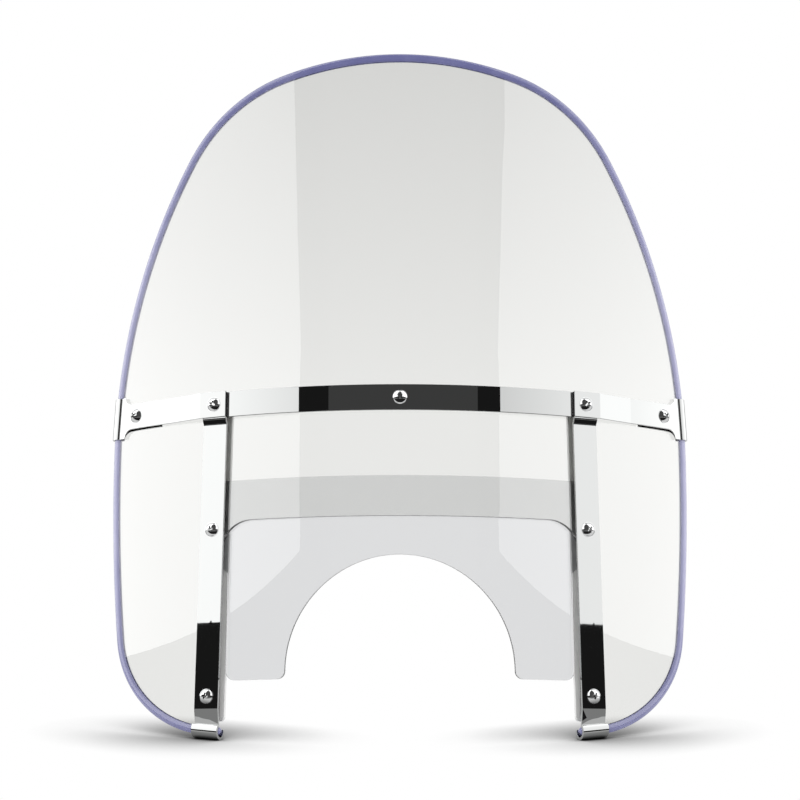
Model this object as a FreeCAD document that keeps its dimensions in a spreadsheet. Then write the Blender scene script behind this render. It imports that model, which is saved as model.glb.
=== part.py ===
"""Clear motorcycle windshield: a bent screen with an edge bead, chromed straps and a lower panel.

Millimetres and degrees. The pieces are drawn round the bent screen: X to the right, Z up along the bend,
Y to the rear, with the front of the screen at Y = 0 in the middle of the cross strap. At the end all of them
lean back together by the rake and stand on the frame's origin, the middle of the base.
"""
import FreeCAD, Part
import math
import os

import Sketcher

SIZES = (
    # Bent screen
    ("bend_radius", 440.0, "front face of the bent screen"),
    ("rake", 12.5, "lean of the whole windshield"),
    ("screen_thickness", 4.5, "sheet of the main screen"),
    ("crown_height", 353.5, "outer edge of the bead above the cross strap"),
    ("crown_radius", 417.0, "outer edge at the top"),
    ("crown_turn", 16.3, "half of the top arc"),
    ("shoulder_radius", 163.0, "outer edge at the shoulder"),
    ("shoulder_turn", 44.6, "arc of the shoulder"),
    ("flank_radius", 595.0, "outer edge at the side"),
    ("flank_turn", 28.3, "arc of the side"),
    ("skirt_radius", 1715.0, "outer edge below the cross strap"),
    ("skirt_turn", 6.8, "arc below the cross strap"),
    ("toe_radius", 107.0, "outer edge round the lower corner"),
    ("leg_inner", 174.0, "from the middle to the inner edge of a leg"),
    ("cutout_drop", 114.5, "top of the cut-out below the cross strap"),
    ("cutout_corner", 30.0, "corner of the cut-out"),
    # Edge bead
    ("bead_diameter", 9.0, "round bead on the edge"),
    ("bead_bite", 1.0, "sheet past the middle of the bead"),
    ("bead_play", 0.1, "slot of the bead to the sheet's faces"),
    ("bead_floor_play", 0.5, "slot of the bead to the sheet's edge"),
    ("bead_tail", 4.6, "bead past the inner edge of a leg"),
    # Lower panel
    ("panel_thickness", 3.0, "sheet of the lower panel"),
    ("panel_gap", 0.3, "lower panel to its neighbours"),
    ("panel_top_drop", 75.0, "upper edge below the cross strap"),
    ("panel_bottom_rise", 47.8, "lower edge above the bead under a foot"),
    ("panel_ear", 12.0, "ear past the strap's screws"),
    ("panel_ear_drop", 160.0, "end of the ears below the cross strap"),
    ("panel_neck_gap", 7.6, "below the ears to the inner edge of a leg"),
    ("panel_corner", 8.0, "rounded lower corners and ears"),
    ("arch_radius", 109.5, "arch over the headlamp"),
    ("arch_foot", 7.5, "rounded foot of the arch"),
    # Straps
    ("strap_width", 25.4, "all straps"),
    ("strap_thickness", 2.5, "cross strap and front straps"),
    ("strap_in_leg", 4.4, "middle of a strap at the cross strap to the inner edge of its leg"),
    ("strap_lean", 0.87, "straps spread towards their feet"),
    ("strap_inset", 0.4, "front strap's top end inside the cross strap"),
    ("joggle_length", 7.0, "step of a front strap below the cross strap"),
    ("hook_slope", 21.0, "where a front strap leans to the sheet, above the bead under a foot"),
    ("hook_seat", 0.25, "front strap to the sheet at its hook"),
    ("hook_play", 0.9, "foot hook round the bead"),
    ("hook_spread", 2.4, "foot hook past the outer edge of its strap"),
    ("hook_lip", 2.0, "end of the foot hook above the bead's middle"),
    ("back_strap_thickness", 3.0, "bars behind the screen"),
    ("back_strap_rise", 9.8, "lower end above the bead under a foot"),
    ("back_strap_corner", 4.0, "rounded ends"),
    ("clip_thickness", 1.8, "end clips"),
    ("clip_play", 0.3, "rolled end round the bead"),
    ("clip_height", 42.0, "rolled end along the bead"),
    ("clip_flare", 8.0, "fillet from the strap to the rolled end"),
    ("clip_flat_past", 3.0, "flat of the front leg past the front strap"),
    ("clip_slope", 39.5, "front leg from its flat down to the bend"),
    ("clip_back_leg", 55.5, "back leg along the bend to the bead"),
    ("clip_toe", 18.0, "where the front leg leans to the sheet, along the bend to the bead"),
    ("clip_seat", 0.25, "front leg to the sheet at its rolled end"),
    # Screws
    ("outer_screw_in", 28.5, "screws of the end clips along the bend to the bead"),
    ("middle_screw_drop", 123.0, "below the cross strap"),
    ("lower_screw_rise", 32.8, "above the bead under a foot"),
    ("screw_diameter", 6.35, "shank"),
    ("head_diameter", 14.6, "domed head"),
    ("head_height", 4.2, "domed head"),
    ("hole_play", 0.3, "shank to its holes, each side"),
    ("nut_play", 0.1, "shank to the nut, each side"),
    ("nut_flats", 11.1, "acorn nut across flats"),
    ("nut_height", 5.5, "hexagon of the acorn nut"),
    ("nut_dome", 5.0, "dome of the acorn nut"),
    ("shank_in_nut", 6.5, "shank past the clamped stack"),
    ("washer_diameter", 14.0, "rubber washers, spacers and the flat washer"),
    ("flat_washer_thickness", 1.2, "under the middle nut"),
    ("seat_gap", 0.1, "flat washers on the bend"),
    # Holes for the fork clamps
    ("clamp_bolt", 8.0, "bolt of a fork clamp"),
    ("clamp_play", 0.25, "bolt to its hole, each side"),
    ("upper_clamp_drop", 58.0, "below the cross strap"),
    ("lower_clamp_drop", 210.0, "below the cross strap"),
)

doc = FreeCAD.newDocument("windshield")
sizes = doc.addObject("Spreadsheet::Sheet", "Sizes")
for row, (alias, number, note) in enumerate(SIZES, start=1):
    sizes.set(f"A{row}", alias)
    sizes.set(f"B{row}", str(number))
    sizes.set(f"C{row}", note)
    sizes.setAlias(f"B{row}", alias)
doc.recompute()

# Distances that follow from the sizes, as expressions on the sheet
STANDOFF = "(Sizes.bead_diameter / 2 + Sizes.clip_play - Sizes.screen_thickness / 2)"
BEAD_RADIUS = "(Sizes.bead_diameter / 2)"
MIDDLE_RADIUS = "(Sizes.bend_radius - Sizes.screen_thickness / 2)"
SCREEN_BACK = "(Sizes.bend_radius - Sizes.screen_thickness)"
PANEL_FRONT = f"({SCREEN_BACK} - Sizes.panel_gap)"
BACK_STRAP_DEPTH = "(Sizes.screen_thickness + Sizes.panel_thickness + 2 * Sizes.panel_gap)"
ROLL_INNER = f"({BEAD_RADIUS} + Sizes.clip_play)"
HOOK_INNER = f"({BEAD_RADIUS} + Sizes.hook_play)"
SHANK_HOLE = "(Sizes.screw_diameter / 2 + Sizes.hole_play)"
HALF_WIDTH = "(Sizes.strap_width / 2)"
STRAP_ACROSS = "(Sizes.leg_inner + Sizes.strap_in_leg)"
STRAP_ANGLE = f"asin({STRAP_ACROSS} / Sizes.bend_radius)"
JOGGLE_TURN = "(2 * atan(Sizes.strap_thickness / Sizes.joggle_length))"
JOGGLE_RADIUS = f"(Sizes.joggle_length / (2 * sin({JOGGLE_TURN})))"

SIDES = {"left": -1, "right": 1}
UP = FreeCAD.Vector(0, 0, 1)
REARWARD = FreeCAD.Vector(0, 1, 0)
FRONT_VIEW = FreeCAD.Rotation(FreeCAD.Vector(1, 0, 0), 90)
SIDE_VIEW = FreeCAD.Rotation(FreeCAD.Vector(0, -1, 0), UP, FreeCAD.Vector(-1, 0, 0), "XYZ")
ALONG_SCREW = FreeCAD.Rotation(FreeCAD.Vector(1, 0, 0), -90)
TO_FRONT = FreeCAD.Rotation(FreeCAD.Vector(1, 0, 0), 90)
ROOM = "Sizes.bend_radius"
HALF_TURN = 180.0
HOOK_TOP = 40.0

# Fineness: lengths of bead on each arc of the edge, flats round the bead, flats round screws and washers
EDGE_STEPS = (8, 8, 10, 4, 10)
BEAD_FLATS = 7
BAR_FLATS = 12
DOME_TURNS = (0, 30, 60)


def value(expression):
    """Number that an expression on the sheet gives."""
    result = sizes.evalExpression(expression)
    return float(getattr(result, "Value", result))


def size(alias):
    """Number in the sheet's cell."""
    return float(sizes.get(alias))


def bind(item, **expressions):
    """Bind the item's properties to expressions on the sheet."""
    for prop, expression in expressions.items():
        item.setExpression(prop, expression)
    return item


def add(kind, name, **expressions):
    """New object of the document with its sizes bound to the sheet."""
    return bind(doc.addObject(kind, name), **expressions)


def combine(kind, name, base, tool):
    """Boolean of two objects."""
    item = doc.addObject(kind, name)
    item.Base = base
    item.Tool = tool
    return item


def group(name, items):
    """Several separate solids as one object."""
    item = doc.addObject("Part::Compound", name)
    item.Links = items
    return item


def joined(name, items):
    """Fusion of several objects."""
    item = doc.addObject("Part::MultiFuse", name)
    item.Shapes = items
    return item


# Reach of a drill, from well before the screen to well behind it
DRILL_START = -3 * size("head_diameter")
THROUGH = "6 * Sizes.head_diameter"


# Places on the bend
def on_bend(radius, angle):
    """Point in plan at an angle round the bend, positive to the right."""
    turn = math.radians(angle)
    return FreeCAD.Vector(radius * math.sin(turn), size("bend_radius") - radius * math.cos(turn), 0)


def station(angle, height):
    """Place on the screen's front face: X along the bend, Y to the rear through the sheet, Z up."""
    spot = on_bend(size("bend_radius"), angle)
    spot.z = height
    return FreeCAD.Placement(spot, FreeCAD.Rotation(UP, angle))


def strap_place(sign):
    """Place of a front strap where it crosses the cross strap; its Z runs up the strap."""
    lean = FreeCAD.Rotation(REARWARD, -sign * size("strap_lean"))
    half_way = -FOOT / 2
    across = value(STRAP_ACROSS) + half_way * math.tan(math.radians(size("strap_lean")))
    angle = math.degrees(math.asin(across / size("bend_radius")))
    return shifted(shifted(station(sign * angle, -half_way), rotation=lean), z=half_way)


def shifted(place, x=0.0, y=0.0, z=0.0, rotation=None):
    """Place moved in its own axes, then turned."""
    return place.multiply(FreeCAD.Placement(FreeCAD.Vector(x, y, z), rotation or FreeCAD.Rotation()))


# Sketches
def line(start, end):
    """Straight piece of an outline."""
    return Part.LineSegment(FreeCAD.Vector(*start), FreeCAD.Vector(*end)), None


def arc(centre, radius, begin, end):
    """Arc of an outline, anticlockwise between two angles; the radius is an expression on the sheet."""
    circle = Part.Circle(FreeCAD.Vector(centre[0], centre[1], 0), UP, value(radius))
    return Part.ArcOfCircle(circle, math.radians(begin), math.radians(end)), radius


def draw(name, pieces, place=None):
    """Sketch of a chain of lines and arcs whose ends are joined and whose radii are bound."""
    sketch = doc.addObject("Sketcher::SketchObject", name)
    sketch.Placement = place or FreeCAD.Placement()
    for geometry, radius in pieces:
        index = sketch.addGeometry(geometry, False)
        if radius:
            number = sketch.addConstraint(Sketcher.Constraint("Radius", index, geometry.Radius))
            sketch.setExpression(f"Constraints[{number}]", radius)
    for index in range(len(pieces)):
        following = (index + 1) % len(pieces)
        for here in (1, 2):
            for there in (1, 2):
                gap = sketch.getPoint(index, here) - sketch.getPoint(following, there)
                if index != following and gap.Length < 1e-6:
                    sketch.addConstraint(Sketcher.Constraint("Coincident", index, here, following, there))
    return sketch


def extrude(name, sketch, direction, length, symmetric=False, solid=True):
    """Extrusion of a sketch along a direction."""
    item = add("Part::Extrusion", name, LengthFwd=length)
    item.Base = sketch
    item.DirMode = "Custom"
    item.Dir = direction
    item.Symmetric = symmetric
    item.Solid = solid
    return item


def loft(name, sections):
    """Solid with straight sides between its sections."""
    item = doc.addObject("Part::Loft", name)
    item.Sections = sections
    item.Solid = True
    item.Ruled = True
    return item


# Outer edge of the screen, seen from the front
EDGE = (
    ("crown_radius", "crown_turn"),
    ("shoulder_radius", "shoulder_turn"),
    ("flank_radius", "flank_turn"),
    ("skirt_radius", "skirt_turn"),
    ("toe_radius", None),
)


def edge_arcs(inset, inner_end):
    """Tangent arcs of the right half from the crown down to a foot, as (centre, radius, first, last).

    The inset is an expression, measured inwards from the bead's outer edge. The last arc stops at inner_end.
    """
    inwards = value(inset)
    x, z = 0.0, size("crown_height") - inwards
    heading = 90.0
    arcs = []
    for radius_name, turn_name in EDGE:
        radius = size(radius_name) - inwards
        centre_x = x - radius * math.cos(math.radians(heading))
        centre_z = z - radius * math.sin(math.radians(heading))
        if turn_name:
            last = heading - size(turn_name)
        else:
            last = -math.degrees(math.acos((inner_end - centre_x) / radius))
        arcs.append(((centre_x, centre_z), f"(Sizes.{radius_name} - {inset})", heading, last))
        heading = last
        x = centre_x + radius * math.cos(math.radians(heading))
        z = centre_z + radius * math.sin(math.radians(heading))
    return arcs


def along(edge_arc, angle):
    """Front view point on an arc of the edge."""
    (centre_x, centre_z), radius, _, _ = edge_arc
    turn = math.radians(angle)
    return centre_x + value(radius) * math.cos(turn), centre_z + value(radius) * math.sin(turn)


def edge_angle(height):
    """Angle round the bend of the bead's middle at a height near the cross strap."""
    for edge_arc in BEAD_ARCS:
        (centre_x, centre_z), radius, first, last = edge_arc
        low, high = along(edge_arc, last)[1], along(edge_arc, first)[1]
        if low <= height <= high:
            reach = value(radius)
            x = centre_x + math.sqrt(reach ** 2 - (height - centre_z) ** 2)
            return math.degrees(math.asin(x / value(MIDDLE_RADIUS)))
    raise ValueError("the height is above or below the edge")


def roll_angle(height):
    """Angle round the bend of an end clip's straight roll, on the line that lies nearest to the bead."""
    reach = size("clip_height") / 2 / math.sqrt(2)
    low, high = edge_angle(-reach), edge_angle(reach)
    return (low + high) / 2 + (high - low) * height / (2 * reach)


def inward_angle(distance):
    """Angle round the bend at a distance inwards from the bead, at the height of the cross strap."""
    return edge_angle(0.0) - math.degrees(distance / value(MIDDLE_RADIUS))


def foot_height(x):
    """Height of the bead's middle under a foot."""
    (centre_x, centre_z), radius, _, _ = BEAD_ARCS[-1]
    return centre_z - math.sqrt(value(radius) ** 2 - (x - centre_x) ** 2)


SHEET_INSET = f"({BEAD_RADIUS} - Sizes.bead_bite)"
SHEET_ARCS = edge_arcs(SHEET_INSET, size("leg_inner"))
BEAD_ARCS = edge_arcs(BEAD_RADIUS, size("leg_inner") - size("bead_tail"))
FOOT = foot_height(value(STRAP_ACROSS))


def on_strap(sign, across, height):
    """Distance from the middle of the windshield to a place on a front strap."""
    return abs(strap_place(sign).multVec(FreeCAD.Vector(across, 0, height)).x)


def hook_height(sign, across):
    """Height of a foot hook's straight roll, on the line that lies nearest to the bead."""
    reach = value(HALF_WIDTH) / math.sqrt(2)
    low = foot_height(on_strap(sign, -reach, FOOT))
    high = foot_height(on_strap(sign, reach, FOOT))
    return (low + high) / 2 + (high - low) * across / (2 * reach)


def mirrored_pieces(right_pieces):
    """Closed outline from its right half, listed from the top middle to the bottom middle."""
    left_pieces = []
    for geometry, radius in reversed(right_pieces):
        if radius:
            centre = geometry.Center
            begin = HALF_TURN - math.degrees(geometry.LastParameter)
            end = HALF_TURN - math.degrees(geometry.FirstParameter)
            left_pieces.append(arc((-centre.x, centre.y), radius, begin, end))
        else:
            first, last = geometry.StartPoint, geometry.EndPoint
            left_pieces.append(line((-last.x, last.y), (-first.x, first.y)))
    return right_pieces + left_pieces


def bent_sheet(name, outline, radius, thickness):
    """Sheet cut to a front view outline, bent to a radius, with its edges square to its faces."""
    sweep = (-150.0, -30.0)
    middle = FreeCAD.Placement(FreeCAD.Vector(0, size("bend_radius"), 0), FreeCAD.Rotation())
    bend = draw(name + "_bend", [arc((0, 0), radius, *sweep)], middle)
    skin = extrude(name + "_skin", bend, UP, f"2 * {ROOM}", symmetric=True, solid=False)
    front = FreeCAD.Placement(FreeCAD.Vector(0, 0, 0), FRONT_VIEW)
    cutter = extrude(name + "_cutter", draw(name + "_outline", outline, front), REARWARD, ROOM)
    trimmed = combine("Part::Common", name + "_trimmed", skin, cutter)
    sheet = add("Part::Offset", name + "_sheet", Value=thickness)
    sheet.Source = trimmed
    sheet.Fill = True
    return sheet


def round_bar(name, place, radius, start, length):
    """Cylinder along a screw's line; start is measured to the rear of the screen's front face."""
    bar = add("Part::Cylinder", name, Radius=radius, Height=length)
    bar.Placement = shifted(place, y=start, rotation=ALONG_SCREW)
    return bar


def flatted_bar(name, place, radius, start, length):
    """Bar along a screw's line with a few flats for its round, where the screw hides it."""
    bar = add("Part::Prism", name, Circumradius=radius, Height=length)
    bar.Polygon = BAR_FLATS
    bar.Placement = shifted(place, y=start, rotation=ALONG_SCREW)
    return bar


def drilled(name, base, places, radius, start=DRILL_START, length=THROUGH, bar=flatted_bar):
    """Base with a hole along each screw's line."""
    drills = []
    for number, place in enumerate(places, start=1):
        drills.append(bar(f"{name}_drill_{number}", place, radius, start, length))
    if len(drills) == 1:
        return combine("Part::Cut", name, base, drills[0])
    return combine("Part::Cut", name, base, joined(name + "_drills", drills))


def dome(name, seat, rim, height):
    """Domed cap on a seat, with flats round it, that narrows in two steps to half its rim."""
    sections = []
    for turn in DOME_TURNS:
        ring = add("Part::RegularPolygon", f"{name}_{turn}", Circumradius=f"{rim} * cos({turn} deg)")
        ring.Polygon = BAR_FLATS
        rise = value(f"{height} * sin({turn} deg) / sin({DOME_TURNS[-1]} deg)")
        ring.Placement = shifted(seat, z=rise)
        sections.append(ring)
    return loft(name, sections)


# Screw lines
def on_straps(height):
    """A place on each front strap."""
    return [shifted(strap_place(sign), z=height) for sign in SIDES.values()]


CENTRE = [station(0.0, 0.0)]
OUTER = [station(sign * inward_angle(size("outer_screw_in")), 0.0) for sign in SIDES.values()]
CORNER = on_straps(0.0)
MIDDLE = on_straps(-size("middle_screw_drop"))
LOWER = on_straps(FOOT + size("lower_screw_rise"))


# Main screen
def main_screen():
    """Bent screen with the cut-out between its two legs."""
    right = [arc(centre, radius, last, first) for centre, radius, first, last in SHEET_ARCS]
    foot = along(SHEET_ARCS[-1], SHEET_ARCS[-1][3])
    corner = size("cutout_corner")
    top = -size("cutout_drop")
    inner = size("leg_inner")
    right.append(line(foot, (inner, top - corner)))
    right.append(arc((inner - corner, top - corner), "Sizes.cutout_corner", 0, 90))
    right.append(line((inner - corner, top), (0, top)))
    sheet = bent_sheet("screen", mirrored_pieces(right), "Sizes.bend_radius", "Sizes.screen_thickness")
    places = CENTRE + OUTER + CORNER + MIDDLE + LOWER
    return drilled("main_screen", sheet, places, SHANK_HOLE)


def lower_screen():
    """Bent panel behind the cut-out, with ears at the middle screws and an arch over the headlamp."""
    top = -size("panel_top_drop")
    bottom = FOOT + size("panel_bottom_rise")
    corner = size("panel_corner")
    neck = size("leg_inner") - size("panel_neck_gap")
    ear = abs(MIDDLE[0].Base.x) + size("panel_ear")
    ear_end = -size("panel_ear_drop")
    foot = size("arch_foot")
    arch = size("arch_radius")
    springing = bottom + foot
    right = [
        line((0, top), (ear - corner, top)),
        arc((ear - corner, top - corner), "Sizes.panel_corner", 0, 90),
        line((ear, top - corner), (ear, ear_end + corner)),
        arc((ear - corner, ear_end + corner), "Sizes.panel_corner", -90, 0),
        line((ear - corner, ear_end), (neck + corner, ear_end)),
        arc((neck + corner, ear_end - corner), "Sizes.panel_corner", 90, 180),
        line((neck, ear_end - corner), (neck, bottom + corner)),
        arc((neck - corner, bottom + corner), "Sizes.panel_corner", -90, 0),
        line((neck - corner, bottom), (arch + foot, bottom)),
        arc((arch + foot, springing), "Sizes.arch_foot", 180, 270),
        arc((0, springing), "Sizes.arch_radius", 0, 90),
    ]
    sheet = bent_sheet("panel", mirrored_pieces(right), PANEL_FRONT, "Sizes.panel_thickness")
    return drilled("lower_screen", sheet, MIDDLE, SHANK_HOLE)


def edge_stations():
    """Places along the bead from foot to foot: X outwards in the sheet, Y to the rear through it."""
    right = []
    for edge_arc, steps in zip(BEAD_ARCS, EDGE_STEPS):
        first, last = edge_arc[2], edge_arc[3]
        right += [(edge_arc, first + (last - first) * step / steps) for step in range(steps)]
    right.append((BEAD_ARCS[-1], BEAD_ARCS[-1][3]))
    places = []
    for edge_arc, turn in right:
        x, height = along(edge_arc, turn)
        round_bend = math.asin(x / value(MIDDLE_RADIUS))
        spot = on_bend(value(MIDDLE_RADIUS), math.degrees(round_bend))
        spot.z = height
        along_bend = FreeCAD.Vector(math.cos(round_bend), math.sin(round_bend), 0)
        rearward = FreeCAD.Vector(-math.sin(round_bend), math.cos(round_bend), 0)
        heading = math.radians(turn)
        outward = along_bend * (math.cos(heading) * math.cos(round_bend)) + UP * math.sin(heading)
        places.append((spot, outward.normalize(), rearward))
    left = []
    for place in reversed(places[1:]):
        left.append(tuple(FreeCAD.Vector(-axis.x, axis.y, axis.z) for axis in place))
    return left + places


def bead_section():
    """Section of the bead, outwards and to the rear: a round of flats with a slot for the sheet."""
    radius = value(BEAD_RADIUS)
    slot = size("screen_thickness") / 2 + size("bead_play")
    slot_floor = size("bead_bite") + size("bead_floor_play")
    mouth = math.degrees(math.asin(slot / radius))
    corners = []
    for step in range(BEAD_FLATS + 1):
        turn = math.radians(mouth - HALF_TURN + 2 * (HALF_TURN - mouth) * step / BEAD_FLATS)
        corners.append((radius * math.cos(turn), radius * math.sin(turn)))
    return corners + [(slot_floor, slot), (slot_floor, -slot), corners[0]]


def edge_bead():
    """Bead lofted along the edge in short straight lengths, with its slot held square to the screen."""
    sections = []
    for spot, outward, rearward in edge_stations():
        corners = [spot + outward * out + rearward * rear for out, rear in bead_section()]
        sections.append(Part.makePolygon(corners))
    bead = doc.addObject("Part::Feature", "edge_bead")
    bead.Shape = Part.makeLoft(sections, True, True)
    return bead


# Straps
def centre_strap():
    """Bent strap between the two front straps."""
    reach = f"({STRAP_ANGLE} + asin({HALF_WIDTH} / Sizes.bend_radius))"
    inner_radius = f"(Sizes.bend_radius + {STANDOFF})"
    outer = add("Part::Cylinder", "centre_strap_outer", Radius=f"{inner_radius} + Sizes.strap_thickness",
                Height="Sizes.strap_width", Angle=f"2 * {reach}")
    inner = add("Part::Cylinder", "centre_strap_inner", Radius=inner_radius, Height="Sizes.strap_width")
    base = FreeCAD.Vector(0, size("bend_radius"), -value(HALF_WIDTH))
    outer.Placement = FreeCAD.Placement(base, FreeCAD.Rotation(UP, -90.0 - value(reach)))
    inner.Placement = FreeCAD.Placement(base, FreeCAD.Rotation())
    band = combine("Part::Cut", "centre_strap_band", outer, inner)
    return drilled("centre_strap", band, CENTRE + CORNER, SHANK_HOLE)


def clip_profile(name, sign, height):
    """Plan of an end clip at a height: a flat on the front strap, a bent leg, a roll and a back leg."""
    bend = size("bend_radius")
    standoff = value(STANDOFF)
    sheet = size("screen_thickness")
    thick = size("clip_thickness")
    edge = roll_angle(height)
    back_angle = inward_angle(size("clip_back_leg"))
    flat = station(value(STRAP_ANGLE), 0.0)
    level = standoff + 2 * size("strap_thickness")
    half = value(HALF_WIDTH)
    past = half + size("clip_flat_past")
    slope_turn = math.atan2(past, bend + level) + size("clip_slope") / (bend + standoff)
    bend_angle = value(STRAP_ANGLE) + math.degrees(slope_turn)
    toe_angle = inward_angle(size("clip_toe"))
    centre_depth = sheet / 2 + size("clip_seat")

    def on_flat(across, front):
        spot = flat.multVec(FreeCAD.Vector(across, -front, 0))
        return sign * spot.x, spot.y

    def polar(radius, angle):
        spot = on_bend(radius, angle)
        return sign * spot.x, spot.y

    def round_bend(radius, first, last):
        low, high = sorted((sign * first - 90.0, sign * last - 90.0))
        return arc((0, bend), radius, low, high)

    centre = polar(value(MIDDLE_RADIUS), edge)
    facing = sign * edge - 90.0

    def crease(radius, depth):
        return math.degrees(math.acos(depth / value(radius)))

    def crease_point(radius, depth):
        way = math.radians(facing - sign * crease(radius, depth))
        reach = value(radius)
        return centre[0] + reach * math.cos(way), centre[1] + reach * math.sin(way)

    def roll(radius, depth):
        if sign > 0:
            return arc(centre, radius, facing - crease(radius, depth), facing + HALF_TURN)
        return arc(centre, radius, facing - HALF_TURN, facing + crease(radius, depth))

    front_inner = f"(Sizes.bend_radius + {STANDOFF})"
    front_outer = f"({front_inner} + Sizes.clip_thickness)"
    back_inner = f"({SCREEN_BACK} - {STANDOFF})"
    back_outer = f"({back_inner} - Sizes.clip_thickness)"
    roll_outer = f"({ROLL_INNER} + Sizes.clip_thickness)"
    pieces = [
        line(on_flat(-half, level + thick), on_flat(past, level + thick)),
        line(on_flat(past, level + thick), polar(bend + standoff + thick, bend_angle)),
        round_bend(front_outer, bend_angle, toe_angle),
        line(polar(bend + standoff + thick, toe_angle), crease_point(roll_outer, centre_depth + thick)),
        roll(roll_outer, centre_depth + thick),
        round_bend(back_outer, back_angle, edge),
        line(polar(bend - sheet - standoff - thick, back_angle), polar(bend - sheet - standoff, back_angle)),
        round_bend(back_inner, back_angle, edge),
        roll(ROLL_INNER, centre_depth),
        line(crease_point(ROLL_INNER, centre_depth), polar(bend + standoff, toe_angle)),
        round_bend(front_inner, bend_angle, toe_angle),
        line(polar(bend + standoff, bend_angle), on_flat(past, level)),
        line(on_flat(past, level), on_flat(-half, level)),
        line(on_flat(-half, level), on_flat(-half, level + thick)),
    ]
    return draw(name, pieces, FreeCAD.Placement(FreeCAD.Vector(0, 0, height), FreeCAD.Rotation()))


def end_clip(side):
    """Clip that folds round the bead and flares to its rolled end."""
    sign = SIDES[side]
    name = f"{side}_end_clip"
    tall = size("clip_height") / 2
    low = clip_profile(name + "_low", sign, -tall)
    high = clip_profile(name + "_high", sign, tall)
    folded = loft(name + "_folded", [low, high])
    half = value(HALF_WIDTH)
    flare = size("clip_flare")
    rise = tall - half
    roll_x = on_bend(value(MIDDLE_RADIUS), roll_angle(tall)).x - value(ROLL_INNER)
    far = 2 * size("bend_radius")
    step = math.degrees(math.acos(1 - rise / flare))
    run = flare * math.sin(math.radians(step))
    start = roll_x - run
    inner = 0.0
    right = [
        line((inner, half), (start, half)),
        arc((start, half + flare), "Sizes.clip_flare", -90, -90 + step),
        line((roll_x, tall), (far, tall)),
        line((far, tall), (far, -tall)),
        line((far, -tall), (roll_x, -tall)),
        arc((start, -half - flare), "Sizes.clip_flare", 90 - step, 90),
        line((start, -half), (inner, -half)),
        line((inner, -half), (inner, half)),
    ]
    if sign < 0:
        right = mirrored_pieces(right)[len(right):]
    before = -size("bend_radius") / 4
    front = FreeCAD.Placement(FreeCAD.Vector(0, before, 0), FRONT_VIEW)
    blank = extrude(name + "_blank", draw(name + "_outline", right, front), REARWARD, ROOM)
    shaped = combine("Part::Common", name + "_shaped", folded, blank)
    places = [OUTER[list(SIDES).index(side)], CORNER[list(SIDES).index(side)]]
    return drilled(name, shaped, places, SHANK_HOLE)


def front_strap_profile(name, sign, across):
    """Side view of a front strap: the step at the top, the flat and the hook under the bead."""
    place = strap_place(sign)
    standoff = value(STANDOFF)
    seat = size("hook_seat")
    thick = size("strap_thickness")
    outer = value(HOOK_INNER) + thick
    inner = value(HOOK_INNER)
    middle = -size("screen_thickness") / 2
    foot = hook_height(sign, across)
    top = value(HALF_WIDTH) - size("strap_inset")
    step_top = -value(HALF_WIDTH) - size("strap_inset")
    step_end = step_top - size("joggle_length")
    slope = FOOT + size("hook_slope")
    crease = math.degrees(math.acos((seat + thick - middle) / outer))
    inner_crease = math.degrees(math.acos((seat - middle) / inner))
    lip = math.degrees(math.asin(size("hook_lip") / outer))
    inner_lip = math.degrees(math.asin(size("hook_lip") / inner))
    turn = value(JOGGLE_TURN)
    upper_bend = (standoff + 1.5 * thick - value(JOGGLE_RADIUS), step_top)
    lower_bend = (standoff + 0.5 * thick + value(JOGGLE_RADIUS), step_end)
    tight = f"({JOGGLE_RADIUS} - Sizes.strap_thickness / 2)"
    wide = f"({JOGGLE_RADIUS} + Sizes.strap_thickness / 2)"

    def rim(radius, angle):
        way = math.radians(angle)
        return middle + radius * math.cos(way), foot + radius * math.sin(way)

    pieces = [
        line((standoff + 2 * thick, top), (standoff + 2 * thick, step_top)),
        arc(upper_bend, wide, -turn, 0),
        arc(lower_bend, tight, HALF_TURN - turn, HALF_TURN),
        line((standoff + thick, step_end), (standoff + thick, slope)),
        line((standoff + thick, slope), rim(outer, crease)),
        arc((middle, foot), f"({HOOK_INNER} + Sizes.strap_thickness)", -HALF_TURN - lip, crease),
        line(rim(outer, HALF_TURN - lip), rim(inner, HALF_TURN - inner_lip)),
        arc((middle, foot), HOOK_INNER, -HALF_TURN - inner_lip, inner_crease),
        line(rim(inner, inner_crease), (standoff, slope)),
        line((standoff, slope), (standoff, step_end)),
        arc(lower_bend, wide, HALF_TURN - turn, HALF_TURN),
        arc(upper_bend, tight, -turn, 0),
        line((standoff + thick, step_top), (standoff + thick, top)),
        line((standoff + thick, top), (standoff + 2 * thick, top)),
    ]
    return draw(name, pieces, shifted(place, x=across, rotation=SIDE_VIEW))


def hook_section(name, sign, across):
    """Side view of a foot hook alone: the round under the bead, from its top to its lip."""
    middle = -size("screen_thickness") / 2
    foot = hook_height(sign, across)
    outer = f"({HOOK_INNER} + Sizes.strap_thickness)"
    lip = math.degrees(math.asin(size("hook_lip") / value(outer)))

    def rim(radius, angle):
        way = math.radians(angle)
        return middle + value(radius) * math.cos(way), foot + value(radius) * math.sin(way)

    pieces = [
        arc((middle, foot), outer, -HALF_TURN - lip, HOOK_TOP),
        line(rim(outer, HOOK_TOP), rim(HOOK_INNER, HOOK_TOP)),
        arc((middle, foot), HOOK_INNER, -HALF_TURN - lip, HOOK_TOP),
        line(rim(HOOK_INNER, HALF_TURN - lip), rim(outer, HALF_TURN - lip)),
    ]
    return draw(name, pieces, shifted(strap_place(sign), x=across, rotation=SIDE_VIEW))


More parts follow.
